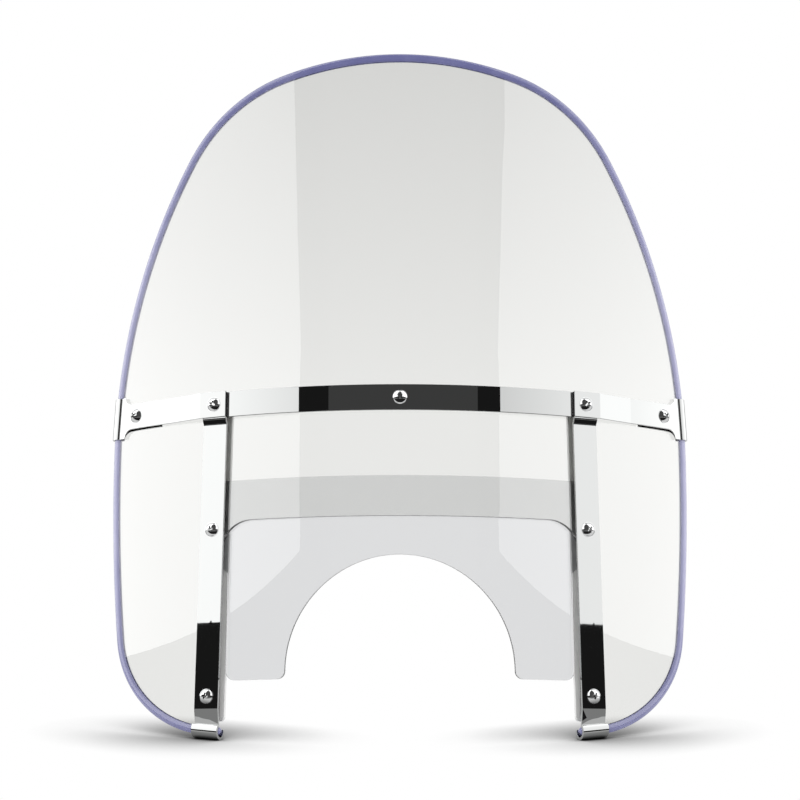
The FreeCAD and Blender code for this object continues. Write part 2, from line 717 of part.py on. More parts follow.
def front_strap(side):
    """Strap down the front of a leg, stepped over the cross strap and hooked under the bead."""
    sign = SIDES[side]
    name = f"{side}_front_strap"
    half = value(HALF_WIDTH)
    inner = front_strap_profile(name + "_inner", sign, -sign * half)
    outer = front_strap_profile(name + "_outer", sign, sign * half)
    flat = loft(name + "_flat", [inner, outer])
    spread = sign * (half + size("hook_spread"))
    ends = [hook_section(name + "_hook_inner", sign, 0.0), hook_section(name + "_hook_outer", sign, spread)]
    bar = joined(name + "_bar", [flat, loft(name + "_hook", ends)])
    places = [row[list(SIDES).index(side)] for row in (CORNER, MIDDLE, LOWER)]
    return drilled(name, bar, places, SHANK_HOLE)


def back_strap(side):
    """Flat bar behind a leg, with the holes for the fork clamps."""
    sign = SIDES[side]
    index = list(SIDES).index(side)
    name = f"{side}_back_strap"
    half = value(HALF_WIDTH)
    corner = size("back_strap_corner")
    bottom = FOOT + size("back_strap_rise")
    pieces = [
        line((corner - half, half), (half - corner, half)),
        arc((half - corner, half - corner), "Sizes.back_strap_corner", 0, 90),
        line((half, half - corner), (half, bottom + corner)),
        arc((half - corner, bottom + corner), "Sizes.back_strap_corner", -90, 0),
        line((half - corner, bottom), (corner - half, bottom)),
        arc((corner - half, bottom + corner), "Sizes.back_strap_corner", 180, 270),
        line((-half, bottom + corner), (-half, half - corner)),
        arc((corner - half, half - corner), "Sizes.back_strap_corner", 90, 180),
    ]
    place = strap_place(sign)
    outline = draw(name + "_outline", pieces, shifted(place, y=value(BACK_STRAP_DEPTH), rotation=FRONT_VIEW))
    direction = place.Rotation.multVec(REARWARD)
    bar = extrude(name + "_bar", outline, direction, "Sizes.back_strap_thickness")
    screws = [row[index] for row in (CORNER, MIDDLE, LOWER)]
    screwed = drilled(name + "_screwed", bar, screws, SHANK_HOLE)
    drops = (size("upper_clamp_drop"), size("lower_clamp_drop"))
    clamps = [shifted(place, z=-drop) for drop in drops]
    return drilled(name, screwed, clamps, "Sizes.clamp_bolt / 2 + Sizes.clamp_play", bar=round_bar)


# Fasteners
FRONT_OF = {
    "centre": f"({STANDOFF} + Sizes.strap_thickness)",
    "outer": f"({STANDOFF} + Sizes.clip_thickness)",
    "corner": f"({STANDOFF} + 2 * Sizes.strap_thickness + Sizes.clip_thickness)",
    "middle": f"({STANDOFF} + Sizes.strap_thickness)",
    "lower": f"({STANDOFF} + Sizes.strap_thickness)",
}
ON_BACK_STRAP = f"({BACK_STRAP_DEPTH} + Sizes.back_strap_thickness)"
BACK_OF = {
    "centre": f"(Sizes.screen_thickness + {STANDOFF} + Sizes.flat_washer_thickness)",
    "outer": f"(Sizes.screen_thickness + {STANDOFF} + Sizes.clip_thickness + Sizes.seat_gap)",
    "corner": ON_BACK_STRAP,
    "middle": ON_BACK_STRAP,
    "lower": ON_BACK_STRAP,
}
ROWS = {"centre": CENTRE, "outer": OUTER, "corner": CORNER, "middle": MIDDLE, "lower": LOWER}


def screw(name, place, row):
    """Domed screw from its seat on the front stack to the inside of its nut."""
    front = FRONT_OF[row]
    shank = flatted_bar(name + "_shank", place, "Sizes.screw_diameter / 2", -value(front),
                        f"{front} + {BACK_OF[row]} + Sizes.shank_in_nut")
    seat = shifted(place, y=-value(front), rotation=TO_FRONT)
    head = dome(name + "_head", seat, "Sizes.head_diameter / 2", "Sizes.head_height")
    return combine("Part::Fuse", name, shank, head)


def screws(row):
    """The screws of one row as one group."""
    label = "centre_screw" if row == "centre" else f"{row}_screws"
    places = enumerate(ROWS[row], start=1)
    return group(label, [screw(f"{label}_{number}", place, row) for number, place in places])


def acorn_nut(name, place, depth):
    """Acorn nut at a depth behind the screen's front face, with a blind bore for the shank."""
    seat = shifted(place, y=depth, rotation=ALONG_SCREW)
    hexagon = add("Part::Prism", name + "_hexagon", Circumradius="Sizes.nut_flats / sqrt(3)",
                  Height="Sizes.nut_height")
    hexagon.Polygon = 6
    hexagon.Placement = seat
    cap = dome(name + "_cap", shifted(seat, z=size("nut_height")), "Sizes.nut_dome", "Sizes.nut_dome")
    body = combine("Part::Fuse", name + "_body", hexagon, cap)
    return drilled(name, body, [place], "Sizes.screw_diameter / 2 + Sizes.nut_play",
                   depth, "Sizes.shank_in_nut + Sizes.hole_play")


def acorn_nuts():
    """Acorn nuts behind all the screws."""
    nuts = []
    for row, places in ROWS.items():
        depth = value(BACK_OF[row])
        for number, place in enumerate(places, start=1):
            nuts.append(acorn_nut(f"{row}_nut_{number}", place, depth))
    return group("acorn_nuts", nuts)


def ring(name, place, start, length):
    """Washer round a screw."""
    body = flatted_bar(name + "_body", place, "Sizes.washer_diameter / 2", start, length)
    return drilled(name, body, [place], SHANK_HOLE)


def rings(label, rows, start, length):
    """Washers of several rows as one group."""
    washers = []
    for row in rows:
        for number, place in enumerate(ROWS[row], start=1):
            washers.append(ring(f"{label}_{row}_{number}", place, value(start), length))
    return group(label, washers)


BEHIND_SCREEN = "(Sizes.screen_thickness + Sizes.seat_gap)"
PARTS = [
    main_screen(),
    lower_screen(),
    edge_bead(),
    centre_strap(),
    end_clip("left"),
    end_clip("right"),
    front_strap("left"),
    front_strap("right"),
    back_strap("left"),
    back_strap("right"),
]
PARTS += [screws(row) for row in ROWS]
PARTS += [
    acorn_nuts(),
    rings("front_rubber_washers", ROWS, f"-({STANDOFF} - Sizes.seat_gap)", f"{STANDOFF} - Sizes.seat_gap"),
    rings("rear_rubber_washers", ("centre", "outer"), BEHIND_SCREEN, f"{STANDOFF} - Sizes.seat_gap"),
    rings("centre_flat_washer", ("centre",), f"(Sizes.screen_thickness + {STANDOFF})",
          "Sizes.flat_washer_thickness"),
    rings("strap_spacers", ("corner", "lower"), BEHIND_SCREEN,
          f"{BACK_STRAP_DEPTH} - {BEHIND_SCREEN}"),
]

doc.recompute()

# Lean back and stand on the origin
lean = FreeCAD.Rotation(FreeCAD.Vector(1, 0, 0), -size("rake"))
whole = Part.makeCompound([part.Shape for part in PARTS])
whole.Placement = FreeCAD.Placement(FreeCAD.Vector(0, 0, 0), lean)
box = whole.optimalBoundingBox()
base = FreeCAD.Vector(0, -(box.YMin + box.YMax) / 2, -box.ZMin)
for part in PARTS:
    part.Placement = FreeCAD.Placement(base, lean)
doc.recompute()

for item in doc.Objects:
    if {"Invalid", "Error"} & set(item.State):
        raise RuntimeError(f"{item.Label} did not compute: {item.State}")
for part in PARTS:
    if part.Shape.isNull() or not part.Shape.isValid() or not part.Shape.Solids:
        raise RuntimeError(f"{part.Label} is not a valid solid")

os.makedirs("parts", exist_ok=True)
for part in PARTS:
    part.Shape.exportStep(f"parts/{part.Label}.step")
    corner = part.Shape.BoundBox
    print(part.Label, len(part.Shape.Solids), round(part.Shape.Volume), corner)
print("base", base, "box", box)
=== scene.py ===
"""Looks of the clear motorcycle windshield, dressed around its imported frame.

Everything is in metres, in the frame's own axes: +Z up, +Y to the rear, +X to the right seen from the front.
The pieces follow one upright bend that leans back. They are drawn in the bend's own axes, with x across, y to the
rear of the screen's front face and z up from the middle of the cross strap, and then lean back with it.
"""

import logging
import math
from dataclasses import dataclass, field
from enum import Enum
from typing import Callable, Iterable, Optional, Sequence

import bmesh
import bpy
from bmesh.types import BMesh
from bpy.types import ID, Material, Mesh, Node, NodeSocket, NodeTree, Object, Scene
from mathutils import Matrix, Vector


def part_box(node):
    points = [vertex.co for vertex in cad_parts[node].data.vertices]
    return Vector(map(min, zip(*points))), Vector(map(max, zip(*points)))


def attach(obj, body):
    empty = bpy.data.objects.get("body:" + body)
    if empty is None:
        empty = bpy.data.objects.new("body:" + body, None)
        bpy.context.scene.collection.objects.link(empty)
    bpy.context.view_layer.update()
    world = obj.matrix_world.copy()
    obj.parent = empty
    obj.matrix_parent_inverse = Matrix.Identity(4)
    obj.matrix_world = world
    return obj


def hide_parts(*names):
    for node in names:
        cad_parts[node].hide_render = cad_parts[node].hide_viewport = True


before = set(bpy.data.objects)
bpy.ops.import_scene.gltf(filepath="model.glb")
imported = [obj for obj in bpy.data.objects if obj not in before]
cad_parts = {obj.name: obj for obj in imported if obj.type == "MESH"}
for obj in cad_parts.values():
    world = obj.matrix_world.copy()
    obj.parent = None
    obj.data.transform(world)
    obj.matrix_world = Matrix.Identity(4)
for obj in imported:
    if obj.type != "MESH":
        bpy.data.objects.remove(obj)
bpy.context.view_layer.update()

LOG = logging.getLogger("windshield")
BODY = "root"
SMOOTH_ANGLE = math.radians(32.0)
USUAL_NOISE = (0.3, 0.7)

Spot = tuple[float, float]
Tint = tuple[float, float, float]
Inputs = dict[str | int, object]


class Slot(Enum):
    """Material slots of the record."""

    SCREEN = "clear_screen"
    PANEL = "clear_panel"
    BEAD = "bead"
    STRAP = "chrome_strap"
    FASTENER = "chrome_fastener"
    RUBBER = "rubber"


class Side(Enum):
    """Sides of the windshield, seen from the front."""

    LEFT = -1
    RIGHT = 1


# Small tools for meshes and objects


def new_mesh(name: str, corners: Sequence[Vector], faces: Sequence[Sequence[int]]) -> Mesh:
    """Closed mesh with its faces turned outwards and smooth up to the usual angle.

    Args:
        name: Name of the mesh.
        corners: Places of the corners.
        faces: Corner numbers of each face.

    Returns:
        The mesh.
    """
    mesh = bpy.data.meshes.new(name)
    mesh.from_pydata([tuple(corner) for corner in corners], [], [tuple(face) for face in faces])
    return recalculated(mesh)


def recalculated(mesh: Mesh, merge: Optional[float] = None) -> Mesh:
    """Turn a mesh's faces outwards and shade it smooth.

    Args:
        mesh: The mesh.
        merge: Distance within which doubles are merged first, if any are.

    Returns:
        The same mesh.
    """
    shaped = bmesh.new()
    shaped.from_mesh(mesh)
    if merge is not None:
        bmesh.ops.remove_doubles(shaped, verts=shaped.verts, dist=merge)
    bmesh.ops.recalc_face_normals(shaped, faces=shaped.faces)
    shaped.to_mesh(mesh)
    shaped.free()
    return smoothed(mesh)


def smoothed(mesh: Mesh) -> Mesh:
    """Shade a mesh smooth, apart from edges sharper than the usual angle.

    Args:
        mesh: The mesh.

    Returns:
        The same mesh.
    """
    mesh.shade_smooth()
    mesh.set_sharp_from_angle(angle=SMOOTH_ANGLE)
    return mesh


def new_object(name: str, data: ID) -> Object:
    """Object at the origin, linked into the scene.

    Args:
        name: Name of the object.
        data: Its mesh, curve or camera.

    Returns:
        The object.
    """
    piece = bpy.data.objects.new(name, data)
    bpy.context.scene.collection.objects.link(piece)
    return piece


def baked(piece: Object) -> Object:
    """Turn a piece with modifiers into a plain mesh.

    Args:
        piece: The piece; its modifiers are removed.

    Returns:
        The same piece with the evaluated mesh.
    """
    graph = bpy.context.evaluated_depsgraph_get()
    mesh = bpy.data.meshes.new_from_object(piece.evaluated_get(graph), depsgraph=graph)
    mesh.name = piece.name
    piece.modifiers.clear()
    piece.data = mesh
    return piece


def finished(piece: Object, slot: Slot, *nodes: str) -> Object:
    """Hand a finished piece over to the frame.

    Args:
        piece: Plain mesh object at the origin.
        slot: Material slot that its finish belongs to; not used.
        nodes: Nodes of the frame that it stands for.

    Returns:
        The same piece.
    """
    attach(piece, BODY)
    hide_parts(*nodes)
    LOG.info("%s stands for %s, %d faces", piece.name, ", ".join(nodes), len(piece.data.polygons))
    return piece


def arc_points(centre: Spot, radius: float, first: float, last: float, step: float) -> list[Spot]:
    """Points on an arc, both ends included.

    Args:
        centre: Middle of the arc.
        radius: Radius of the arc.
        first: Angle of the first point, in degrees.
        last: Angle of the last point, in degrees.
        step: Longest distance between two points.

    Returns:
        The points in order.
    """
    count = max(3, math.ceil(abs(math.radians(last - first)) * radius / step))
    points = []
    for index in range(count + 1):
        turn = math.radians(first + (last - first) * index / count)
        points.append((centre[0] + radius * math.cos(turn), centre[1] + radius * math.sin(turn)))
    return points


def mirrored(right: Sequence[Spot]) -> list[Spot]:
    """Closed outline from its right half, which runs from one point on the middle line to another."""
    left = [(-x, z) for x, z in reversed(right[1:-1])]
    return list(right) + left


def revolved(name: str, profile: Sequence[Spot], segments: int, closed: bool = False,
             limit: Optional[Callable[[float], float]] = None) -> Mesh:
    """Mesh of a profile turned round the Z axis.

    Args:
        name: Name of the mesh.
        profile: Radius and height of each point; a radius of zero is a pole.
        segments: Number of steps round the axis.
        closed: Whether the last point joins the first, as in a ring.
        limit: Largest radius at an angle, as for a hexagon.

    Returns:
        The mesh.
    """
    corners: list[Vector] = []
    rows: list[list[int]] = []
    for radius, height in profile:
        row = []
        for index in range(1 if radius == 0.0 else segments):
            turn = 2.0 * math.pi * index / segments
            reach = min(radius, limit(turn)) if limit else radius
            row.append(len(corners))
            corners.append(Vector((reach * math.cos(turn), reach * math.sin(turn), height)))
        rows.append(row if len(row) > 1 else row * segments)
    faces = []
    pairs = list(zip(rows, rows[1:] + rows[:1]))
    for low, high in pairs if closed else pairs[:-1]:
        for index in range(segments):
            after = (index + 1) % segments
            face = dict.fromkeys((low[index], low[after], high[after], high[index]))
            if len(face) > 2:
                faces.append(list(face))
    return new_mesh(name, corners, faces)


# Node trees


class Graph:
    """Node tree that is filled node by node."""

    def __init__(self, tree: NodeTree) -> None:
        """Keep the tree."""
        self.tree = tree

    def add(self, kind: str, inputs: Optional[Inputs] = None, **settings: object) -> Node:
        """Add a node.

        Args:
            kind: Type of the node.
            inputs: Value or other node's output for each of its inputs.
            settings: The node's own settings.

        Returns:
            The node.
        """
        node = self.tree.nodes.new(kind)
        for name, value in settings.items():
            setattr(node, name, value)
        return self.fill(node, inputs or {})

    def fill(self, node: Node, inputs: Inputs) -> Node:
        """Set inputs of a node.

        Args:
            node: The node.
            inputs: Value or other node's output for each input.

        Returns:
            The same node.
        """
        for name, value in inputs.items():
            if isinstance(value, NodeSocket):
                self.tree.links.new(value, node.inputs[name])
            else:
                node.inputs[name].default_value = value
        return node


class ShaderGraph(Graph):
    """Shader tree with procedural values on the object's own coordinates."""

    @classmethod
    def of_material(cls, name: str) -> tuple[Material, "ShaderGraph"]:
        """New material and its tree.

        Args:
            name: Name of the material.

        Returns:
            The material and the tree.
        """
        material = bpy.data.materials.new(name)
        material.use_nodes = True
        return material, cls(material.node_tree)

    def math(self, operation: str, *values: object, clamp: bool = False) -> NodeSocket:
        """Result of a sum on values or sockets."""
        node = self.add("ShaderNodeMath", dict(enumerate(values)), operation=operation, use_clamp=clamp)
        return node.outputs["Value"]

    def coordinate(self, kind: str) -> NodeSocket:
        """Texture coordinate of a kind."""
        return self.add("ShaderNodeTexCoord").outputs[kind]

    def noise(self, waves: Spot) -> NodeSocket:
        """Noise with a scale in waves a metre and a number of finer layers."""
        values = {"Vector": self.coordinate("Object"), "Scale": waves[0], "Detail": waves[1]}
        return self.add("ShaderNodeTexNoise", values).outputs["Fac"]

    def ranged(self, value: NodeSocket, source: Spot, target: Spot) -> NodeSocket:
        """Map a value from a source range to a target range.

        Args:
            value: The value.
            source: Range that it comes from.
            target: Range that it is mapped to.

        Returns:
            The result's socket.
        """
        ends = {"From Min": source[0], "From Max": source[1], "To Min": target[0], "To Max": target[1]}
        return self.add("ShaderNodeMapRange", {"Value": value, **ends}).outputs["Result"]

    def uneven(self, waves: Spot, target: Spot) -> NodeSocket:
        """Noise that is mapped from its usual range to a target range."""
        return self.ranged(self.noise(waves), USUAL_NOISE, target)

    def bump(self, height: NodeSocket, depth: float) -> NodeSocket:
        """Normal of a relief with a depth."""
        return self.add("ShaderNodeBump", {"Height": height, "Distance": depth}).outputs["Normal"]


class GeometryGraph(Graph):
    """Geometry node tree from named inputs to realized geometry with its material."""

    def __init__(self, name: str, **kinds: str) -> None:
        """Start the tree with the inputs Geometry and Material, and others between them.

        Args:
            name: Name of the tree.
            kinds: Kind of socket of each other input.
        """
        super().__init__(bpy.data.node_groups.new(name, "GeometryNodeTree"))
        for label, kind in {"Geometry": "Geometry", **kinds, "Material": "Material"}.items():
            self.tree.interface.new_socket(label, in_out="INPUT", socket_type="NodeSocket" + kind)
        self.tree.interface.new_socket("Geometry", in_out="OUTPUT", socket_type="NodeSocketGeometry")
        self.source = self.add("NodeGroupInput").outputs

    def attribute(self, name: str, kind: str = "FLOAT") -> NodeSocket:
        """Named attribute of the geometry."""
        node = self.add("GeometryNodeInputNamedAttribute", {"Name": name}, data_type=kind)
        return node.outputs["Attribute"]

    def piece(self, name: str) -> NodeSocket:
        """Geometry of the object that an input names."""
        return self.add("GeometryNodeObjectInfo", {"Object": self.source[name]}).outputs["Geometry"]

    def ended(self, geometry: NodeSocket) -> NodeTree:
        """Realize the result and give it its material.

        Args:
            geometry: The result.

        Returns:
            The whole tree.
        """
        realized = self.add("GeometryNodeRealizeInstances", {"Geometry": geometry}).outputs["Geometry"]
        dressed = self.add("GeometryNodeSetMaterial", {"Geometry": realized, "Material": self.source["Material"]})
        self.add("NodeGroupOutput", {"Geometry": dressed.outputs["Geometry"]})
        return self.tree


def run_tree(piece: Object, tree: NodeTree, inputs: dict[str, object]) -> Object:
    """Run a node tree on a piece and keep its result as a plain mesh.

    Args:
        piece: Object that the tree starts from.
        tree: Geometry node tree.
        inputs: Values by the input's name.

    Returns:
        The same piece.
    """
    modifier = piece.modifiers.new(tree.name, "NODES")
    modifier.node_group = tree
    for item in tree.interface.items_tree:
        if item.item_type == "SOCKET" and item.in_out == "INPUT" and item.name in inputs:
            modifier[item.identifier] = inputs[item.name]
    return baked(piece)


# The bend and the outline of the screen


@dataclass(frozen=True)
class Bend:
    """The bent and leaning surface that the pieces follow.

    Attributes:
        base: Where the middle of the cross strap meets the screen's front face.
        radius: Front face of the bent screen.
        rake: Lean of the whole windshield.
    """

    base: Vector
    radius: float = 0.440
    rake: float = math.radians(12.5)

    @property
    def lean(self) -> Matrix:
        """Matrix from the bend's own axes to the frame's axes."""
        return Matrix.Translation(self.base) @ Matrix.Rotation(-self.rake, 4, "X")

    def spot(self, x: float, z: float, radius: float, depth: float = 0.0) -> Vector:
        """Point of a bent sheet, from its place in the front view.

        Args:
            x: Place across, on the face with the given radius.
            z: Height above the cross strap.
            radius: Radius of the face that x is measured on.
            depth: Depth behind that face, square to it.

        Returns:
            The point in the frame's axes.
        """
        angle = math.asin(x / radius)
        reach = radius - depth
        return self.lean @ Vector((reach * math.sin(angle), self.radius - reach * math.cos(angle), z))

    def rearward(self, angle: float) -> Vector:
        """Direction to the rear through the sheet at an angle round the bend."""
        return self.lean.to_3x3() @ Vector((-math.sin(angle), math.cos(angle), 0.0))


@dataclass(frozen=True)
class EdgeOutline:
    """Outer edge of the bead in the front view: tangent arcs from the crown down to a foot.

    Attributes:
        crown_height: Top of the edge above the cross strap.
        arcs: Radius and turn in degrees of each arc; the last one runs to where it is cut.
        step: Longest distance between two points.
    """

    crown_height: float = 0.3535
    arcs: tuple[tuple[float, float], ...] = (
        (0.417, 16.3), (0.163, 44.6), (0.595, 28.3), (1.715, 6.8), (0.107, math.inf))
    step: float = 0.004

    def right_half(self, inset: float, inner_end: float) -> list[Spot]:
        """Points of the right half.

        Args:
            inset: Distance inwards from the outer edge.
            inner_end: Distance from the middle where the last arc stops.

        Returns:
            The points from the crown to the foot.
        """
        spot = (0.0, self.crown_height - inset)
        heading = 90.0
        points = [spot]
        for full_radius, turn in self.arcs:
            radius = full_radius - inset
            way = math.radians(heading)
            centre = (spot[0] - radius * math.cos(way), spot[1] - radius * math.sin(way))
            if math.isinf(turn):
                last = -math.degrees(math.acos((inner_end - centre[0]) / radius))
            else:
                last = heading - turn
            points += arc_points(centre, radius, heading, last, self.step)[1:]
            heading = last
            spot = points[-1]
        return points


# Finishes


@dataclass(frozen=True)
class Finish:
    """Base of the finishes: a node material with an uneven gloss and a fine relief.

    Attributes:
        name: Name of the material.
        colour: Its colour.
        gloss: Least and largest roughness.
        clouds: Scale and finer layers of the uneven gloss.
        relief: Depth of the relief.
        grain: Scale and finer layers of the relief.
    """

    name: str
    colour: Tint
    gloss: Spot
    clouds: Spot
    relief: float = 0.0
    grain: Spot = (0.0, 0.0)

    def material(self) -> Material:
        """The material with its nodes.

        Returns:
            The material.
        """
        material, graph = ShaderGraph.of_material(self.name)
        graph.fill(graph.tree.nodes["Principled BSDF"], self.inputs(graph))
        return material

    def inputs(self, graph: ShaderGraph) -> Inputs:
        """Inputs of the shader; some finishes add their own.

        Args:
            graph: Tree of the material.

        Returns:
            Value or socket for each input.
        """
        values: Inputs = {"Base Color": (*self.colour, 1.0), "Roughness": graph.uneven(self.clouds, self.gloss)}
        if self.relief:
            values["Normal"] = graph.bump(graph.noise(self.grain), self.relief)
        return values


@dataclass(frozen=True)
class ClearPlastic(Finish):
    """Polished clear sheet with a faint tint.

    Attributes:
        refraction: Index of refraction.
    """

    gloss: Spot = (0.0, 0.004)
    clouds: Spot = (9.0, 4.0)
    refraction: float = 1.58

    def inputs(self, graph: ShaderGraph) -> Inputs:
        """Inputs of the shader."""
        return {**super().inputs(graph), "Transmission Weight": 1.0, "IOR": self.refraction}


@dataclass(frozen=True)
class Vinyl(Finish):
    """Soft translucent vinyl of the bead, with painted shade that deepens its colour towards the crown and the feet.

    Attributes:
        painted_shade_colour: Painted shade, the colour at the crown and the feet.
        unshaded_height: Height of the palest place, where no shade is painted.
        painted_shade_span: Distances from there at which the painted shade starts and is deepest.
        blotches: Least and largest uneven share added to the painted shade.
        clarity: Share of the light that goes through.
        refraction: Index of refraction.
        coat: Weight and roughness of the gloss on top.
    """

    gloss: Spot = (0.08, 0.16)
    clouds: Spot = (60.0, 3.0)
    relief: float = 0.00003
    grain: Spot = (350.0, 2.0)
    painted_shade_colour: Tint = (0.19, 0.195, 0.42)
    unshaded_height: float = 0.30
    painted_shade_span: Spot = (0.12, 0.37)
    blotches: Spot = (-0.1, 0.1)
    clarity: float = 0.2
    refraction: float = 1.5
    coat: Spot = (0.3, 0.06)

    def inputs(self, graph: ShaderGraph) -> Inputs:
        """Inputs of the shader, with painted shade on the colour by the height.

        Args:
            graph: Tree of the material.

        Returns:
            Value or socket for each input.
        """
        # Painted shade: the colour darkens from the palest height towards the crown and the feet, with uneven
        # blotches.
        height = graph.add("ShaderNodeSeparateXYZ", {"Vector": graph.coordinate("Object")}).outputs["Z"]
        apart = graph.math("ABSOLUTE", graph.math("SUBTRACT", height, self.unshaded_height))
        blotches = graph.uneven(self.clouds, self.blotches)
        depth = graph.math("ADD", graph.ranged(apart, self.painted_shade_span, (0.0, 1.0)), blotches, clamp=True)
        ends = {"A": (*self.colour, 1.0), "B": (*self.painted_shade_colour, 1.0)}
        shade = graph.add("ShaderNodeMix", {"Factor": depth, **ends}, data_type="RGBA").outputs["Result"]
        return {**super().inputs(graph), "Base Color": shade, "IOR": self.refraction,
                "Transmission Weight": self.clarity, "Coat Weight": self.coat[0], "Coat Roughness": self.coat[1]}


@dataclass(frozen=True)
class Chrome(Finish):
    """Metal with faint waves and a little uneven gloss: polished plating, or dull zinc.

    Attributes:
        metal: Share of the metal's mirror in the surface.
    """

    gloss: Spot = (0.025, 0.06)
    clouds: Spot = (45.0, 4.0)
    grain: Spot = (30.0, 1.0)
    metal: float = 1.0

    def inputs(self, graph: ShaderGraph) -> Inputs:
        """Inputs of the shader."""
        return {**super().inputs(graph), "Metallic": self.metal}


@dataclass(frozen=True)
class Rubber(Finish):
    """Dull black rubber with a fine grain."""

    gloss: Spot = (0.55, 0.8)
    clouds: Spot = (900.0, 4.0)
    relief: float = 0.0001
    grain: Spot = (900.0, 4.0)


# Clear sheets


@dataclass
class ClearSheet:
    """Bent clear sheet: an outline in the front view, bent and given its thickness.

    Attributes:
        name: Name of the piece and of the node that it stands for.
        bend: The bend that it follows.
        radius: Radius of its front face.
        thickness: Thickness of the sheet.
        outline: Closed outline in the front view.
        holes: Angle round the bend and height of each screw hole.
        hole_radius: Radius of the screw holes.
        hole_turn: Turn from the first point of a hole to its last, in degrees.
        hole_steps: Least steps of a hole's outline in a length of its radius.
        strip: Width of the strips that follow the bend.
        merge: Distance within which a cut goes through a corner.
    """

    name: str
    bend: Bend
    radius: float
    thickness: float
    outline: list[Spot]
    holes: list[Spot]
    hole_radius: float = 0.003475
    hole_turn: float = 345.0
    hole_steps: int = 4
    strip: float = 0.005
    merge: float = 1e-6

    def hole(self, angle: float, height: float) -> list[Spot]:
        """Front view of one hole."""
        ring = arc_points((0.0, 0.0), self.hole_radius, 0.0, self.hole_turn, self.hole_radius / self.hole_steps)
        return [(self.radius * math.sin(angle + across / self.radius), height + up) for across, up in ring]

    def blank(self) -> BMesh:
        """Flat outline with its holes, cut into upright strips.

        Returns:
            The flat mesh, with x across and z up.
        """
        flat = bmesh.new()
        edges = []
        for ring in [self.outline] + [self.hole(*hole) for hole in self.holes]:
            corners = [flat.verts.new((x, 0.0, z)) for x, z in ring]
            edges += [flat.edges.new(pair) for pair in zip(corners, corners[1:] + corners[:1])]
        bmesh.ops.triangle_fill(flat, edges=edges, use_beauty=True, normal=(0.0, -1.0, 0.0))
        reach = max(x for x, _ in self.outline)
        count = math.ceil(reach / self.strip)
        for index in range(1 - count, count):
            everything = flat.verts[:] + flat.edges[:] + flat.faces[:]
            bmesh.ops.bisect_plane(flat, geom=everything, dist=self.merge, plane_co=(index * self.strip, 0.0, 0.0),
                                   plane_no=(1.0, 0.0, 0.0))
        flat.verts.index_update()
        return flat

    def build(self, finish: Material, slot: Slot) -> Object:
        """Bend the blank into the sheet.

        Args:
            finish: Material of the sheet.
            slot: Material slot of the record.

        Returns:
            The finished piece.
        """
        flat = self.blank()
        count = len(flat.verts)
        places = [(corner.co.x, corner.co.z) for corner in flat.verts]
        front = [self.bend.spot(x, z, self.radius) for x, z in places]
        back = [self.bend.spot(x, z, self.radius, self.thickness) for x, z in places]
        faces = [[corner.index for corner in face.verts] for face in flat.faces]
        faces += [[corner.index + count for corner in reversed(face.verts)] for face in flat.faces]
        for edge in flat.edges:
            if edge.is_boundary:
                first, last = (corner.index for corner in edge.verts)
                faces.append([first, last, last + count, first + count])
        flat.free()
        mesh = new_mesh(self.name + "_dressed", front + back, faces)
        mesh.materials.append(finish)
        return finished(new_object(self.name + "_dressed", mesh), slot, self.name)


@dataclass(frozen=True)
class ScreenOutline:
    """Outline of the main screen with the cut-out between its legs.

    Attributes:
        edge: Outline of the bead's outer edge.
        inset: The sheet's edge inside the bead's outer edge.
        leg_inner: Inner edge of a leg from the middle.
        cutout_drop: Top of the cut-out below the cross strap.
        cutout_corner: Radius of its upper corners.
    """

    edge: EdgeOutline
    inset: float = 0.0035
    leg_inner: float = 0.174
    cutout_drop: float = 0.1145
    cutout_corner: float = 0.030

    def closed(self) -> list[Spot]:
        """Closed outline in the front view.

        Returns:
            The points in order.
        """
        corner = (self.leg_inner - self.cutout_corner, -self.cutout_drop - self.cutout_corner)
        right = self.edge.right_half(self.inset, self.leg_inner)
        right += arc_points(corner, self.cutout_corner, 0.0, 90.0, self.edge.step / 2.0)
        return mirrored(right + [(0.0, -self.cutout_drop)])


@dataclass(frozen=True)
class PanelOutline:
    """Outline of the lower panel: ears at the screws and an arch over the headlamp.

    Attributes:
        top: Height of its top.
        bottom: Height of its bottom.
        ear: Reach of an ear from the middle.
        ear_end: Height of an ear's lower end.
        neck: Outer edge below the ears, from the middle.
        corner: Radius of the corners.
        arch: Radius of the arch.
        foot: Radius of the corners between the arch and the bottom.
        step: Longest distance between two points.
    """

    top: float = -0.075
    bottom: float = -0.26808
    ear: float = 0.192315
    ear_end: float = -0.160
    neck: float = 0.1664
    corner: float = 0.008
    arch: float = 0.1095
    foot: float = 0.0075
    step: float = 0.002

    def closed(self) -> list[Spot]:
        """Closed outline in the front view.

        Returns:
            The points in order.
        """
        corner, foot = self.corner, self.foot
        springing = self.bottom + foot
        right = [(0.0, self.top)]
        for x, z, radius, first, last in (
                (self.ear - corner, self.top - corner, corner, 90.0, 0.0),
                (self.ear - corner, self.ear_end + corner, corner, 0.0, -90.0),
                (self.neck + corner, self.ear_end - corner, corner, 90.0, 180.0),
                (self.neck - corner, self.bottom + corner, corner, 0.0, -90.0),
                (self.arch + foot, springing, foot, 270.0, 180.0)):
            right += arc_points((x, z), radius, first, last, self.step)
        return mirrored(right + arc_points((0.0, springing), self.arch, 0.0, 90.0, self.step)[1:])


# Edge bead


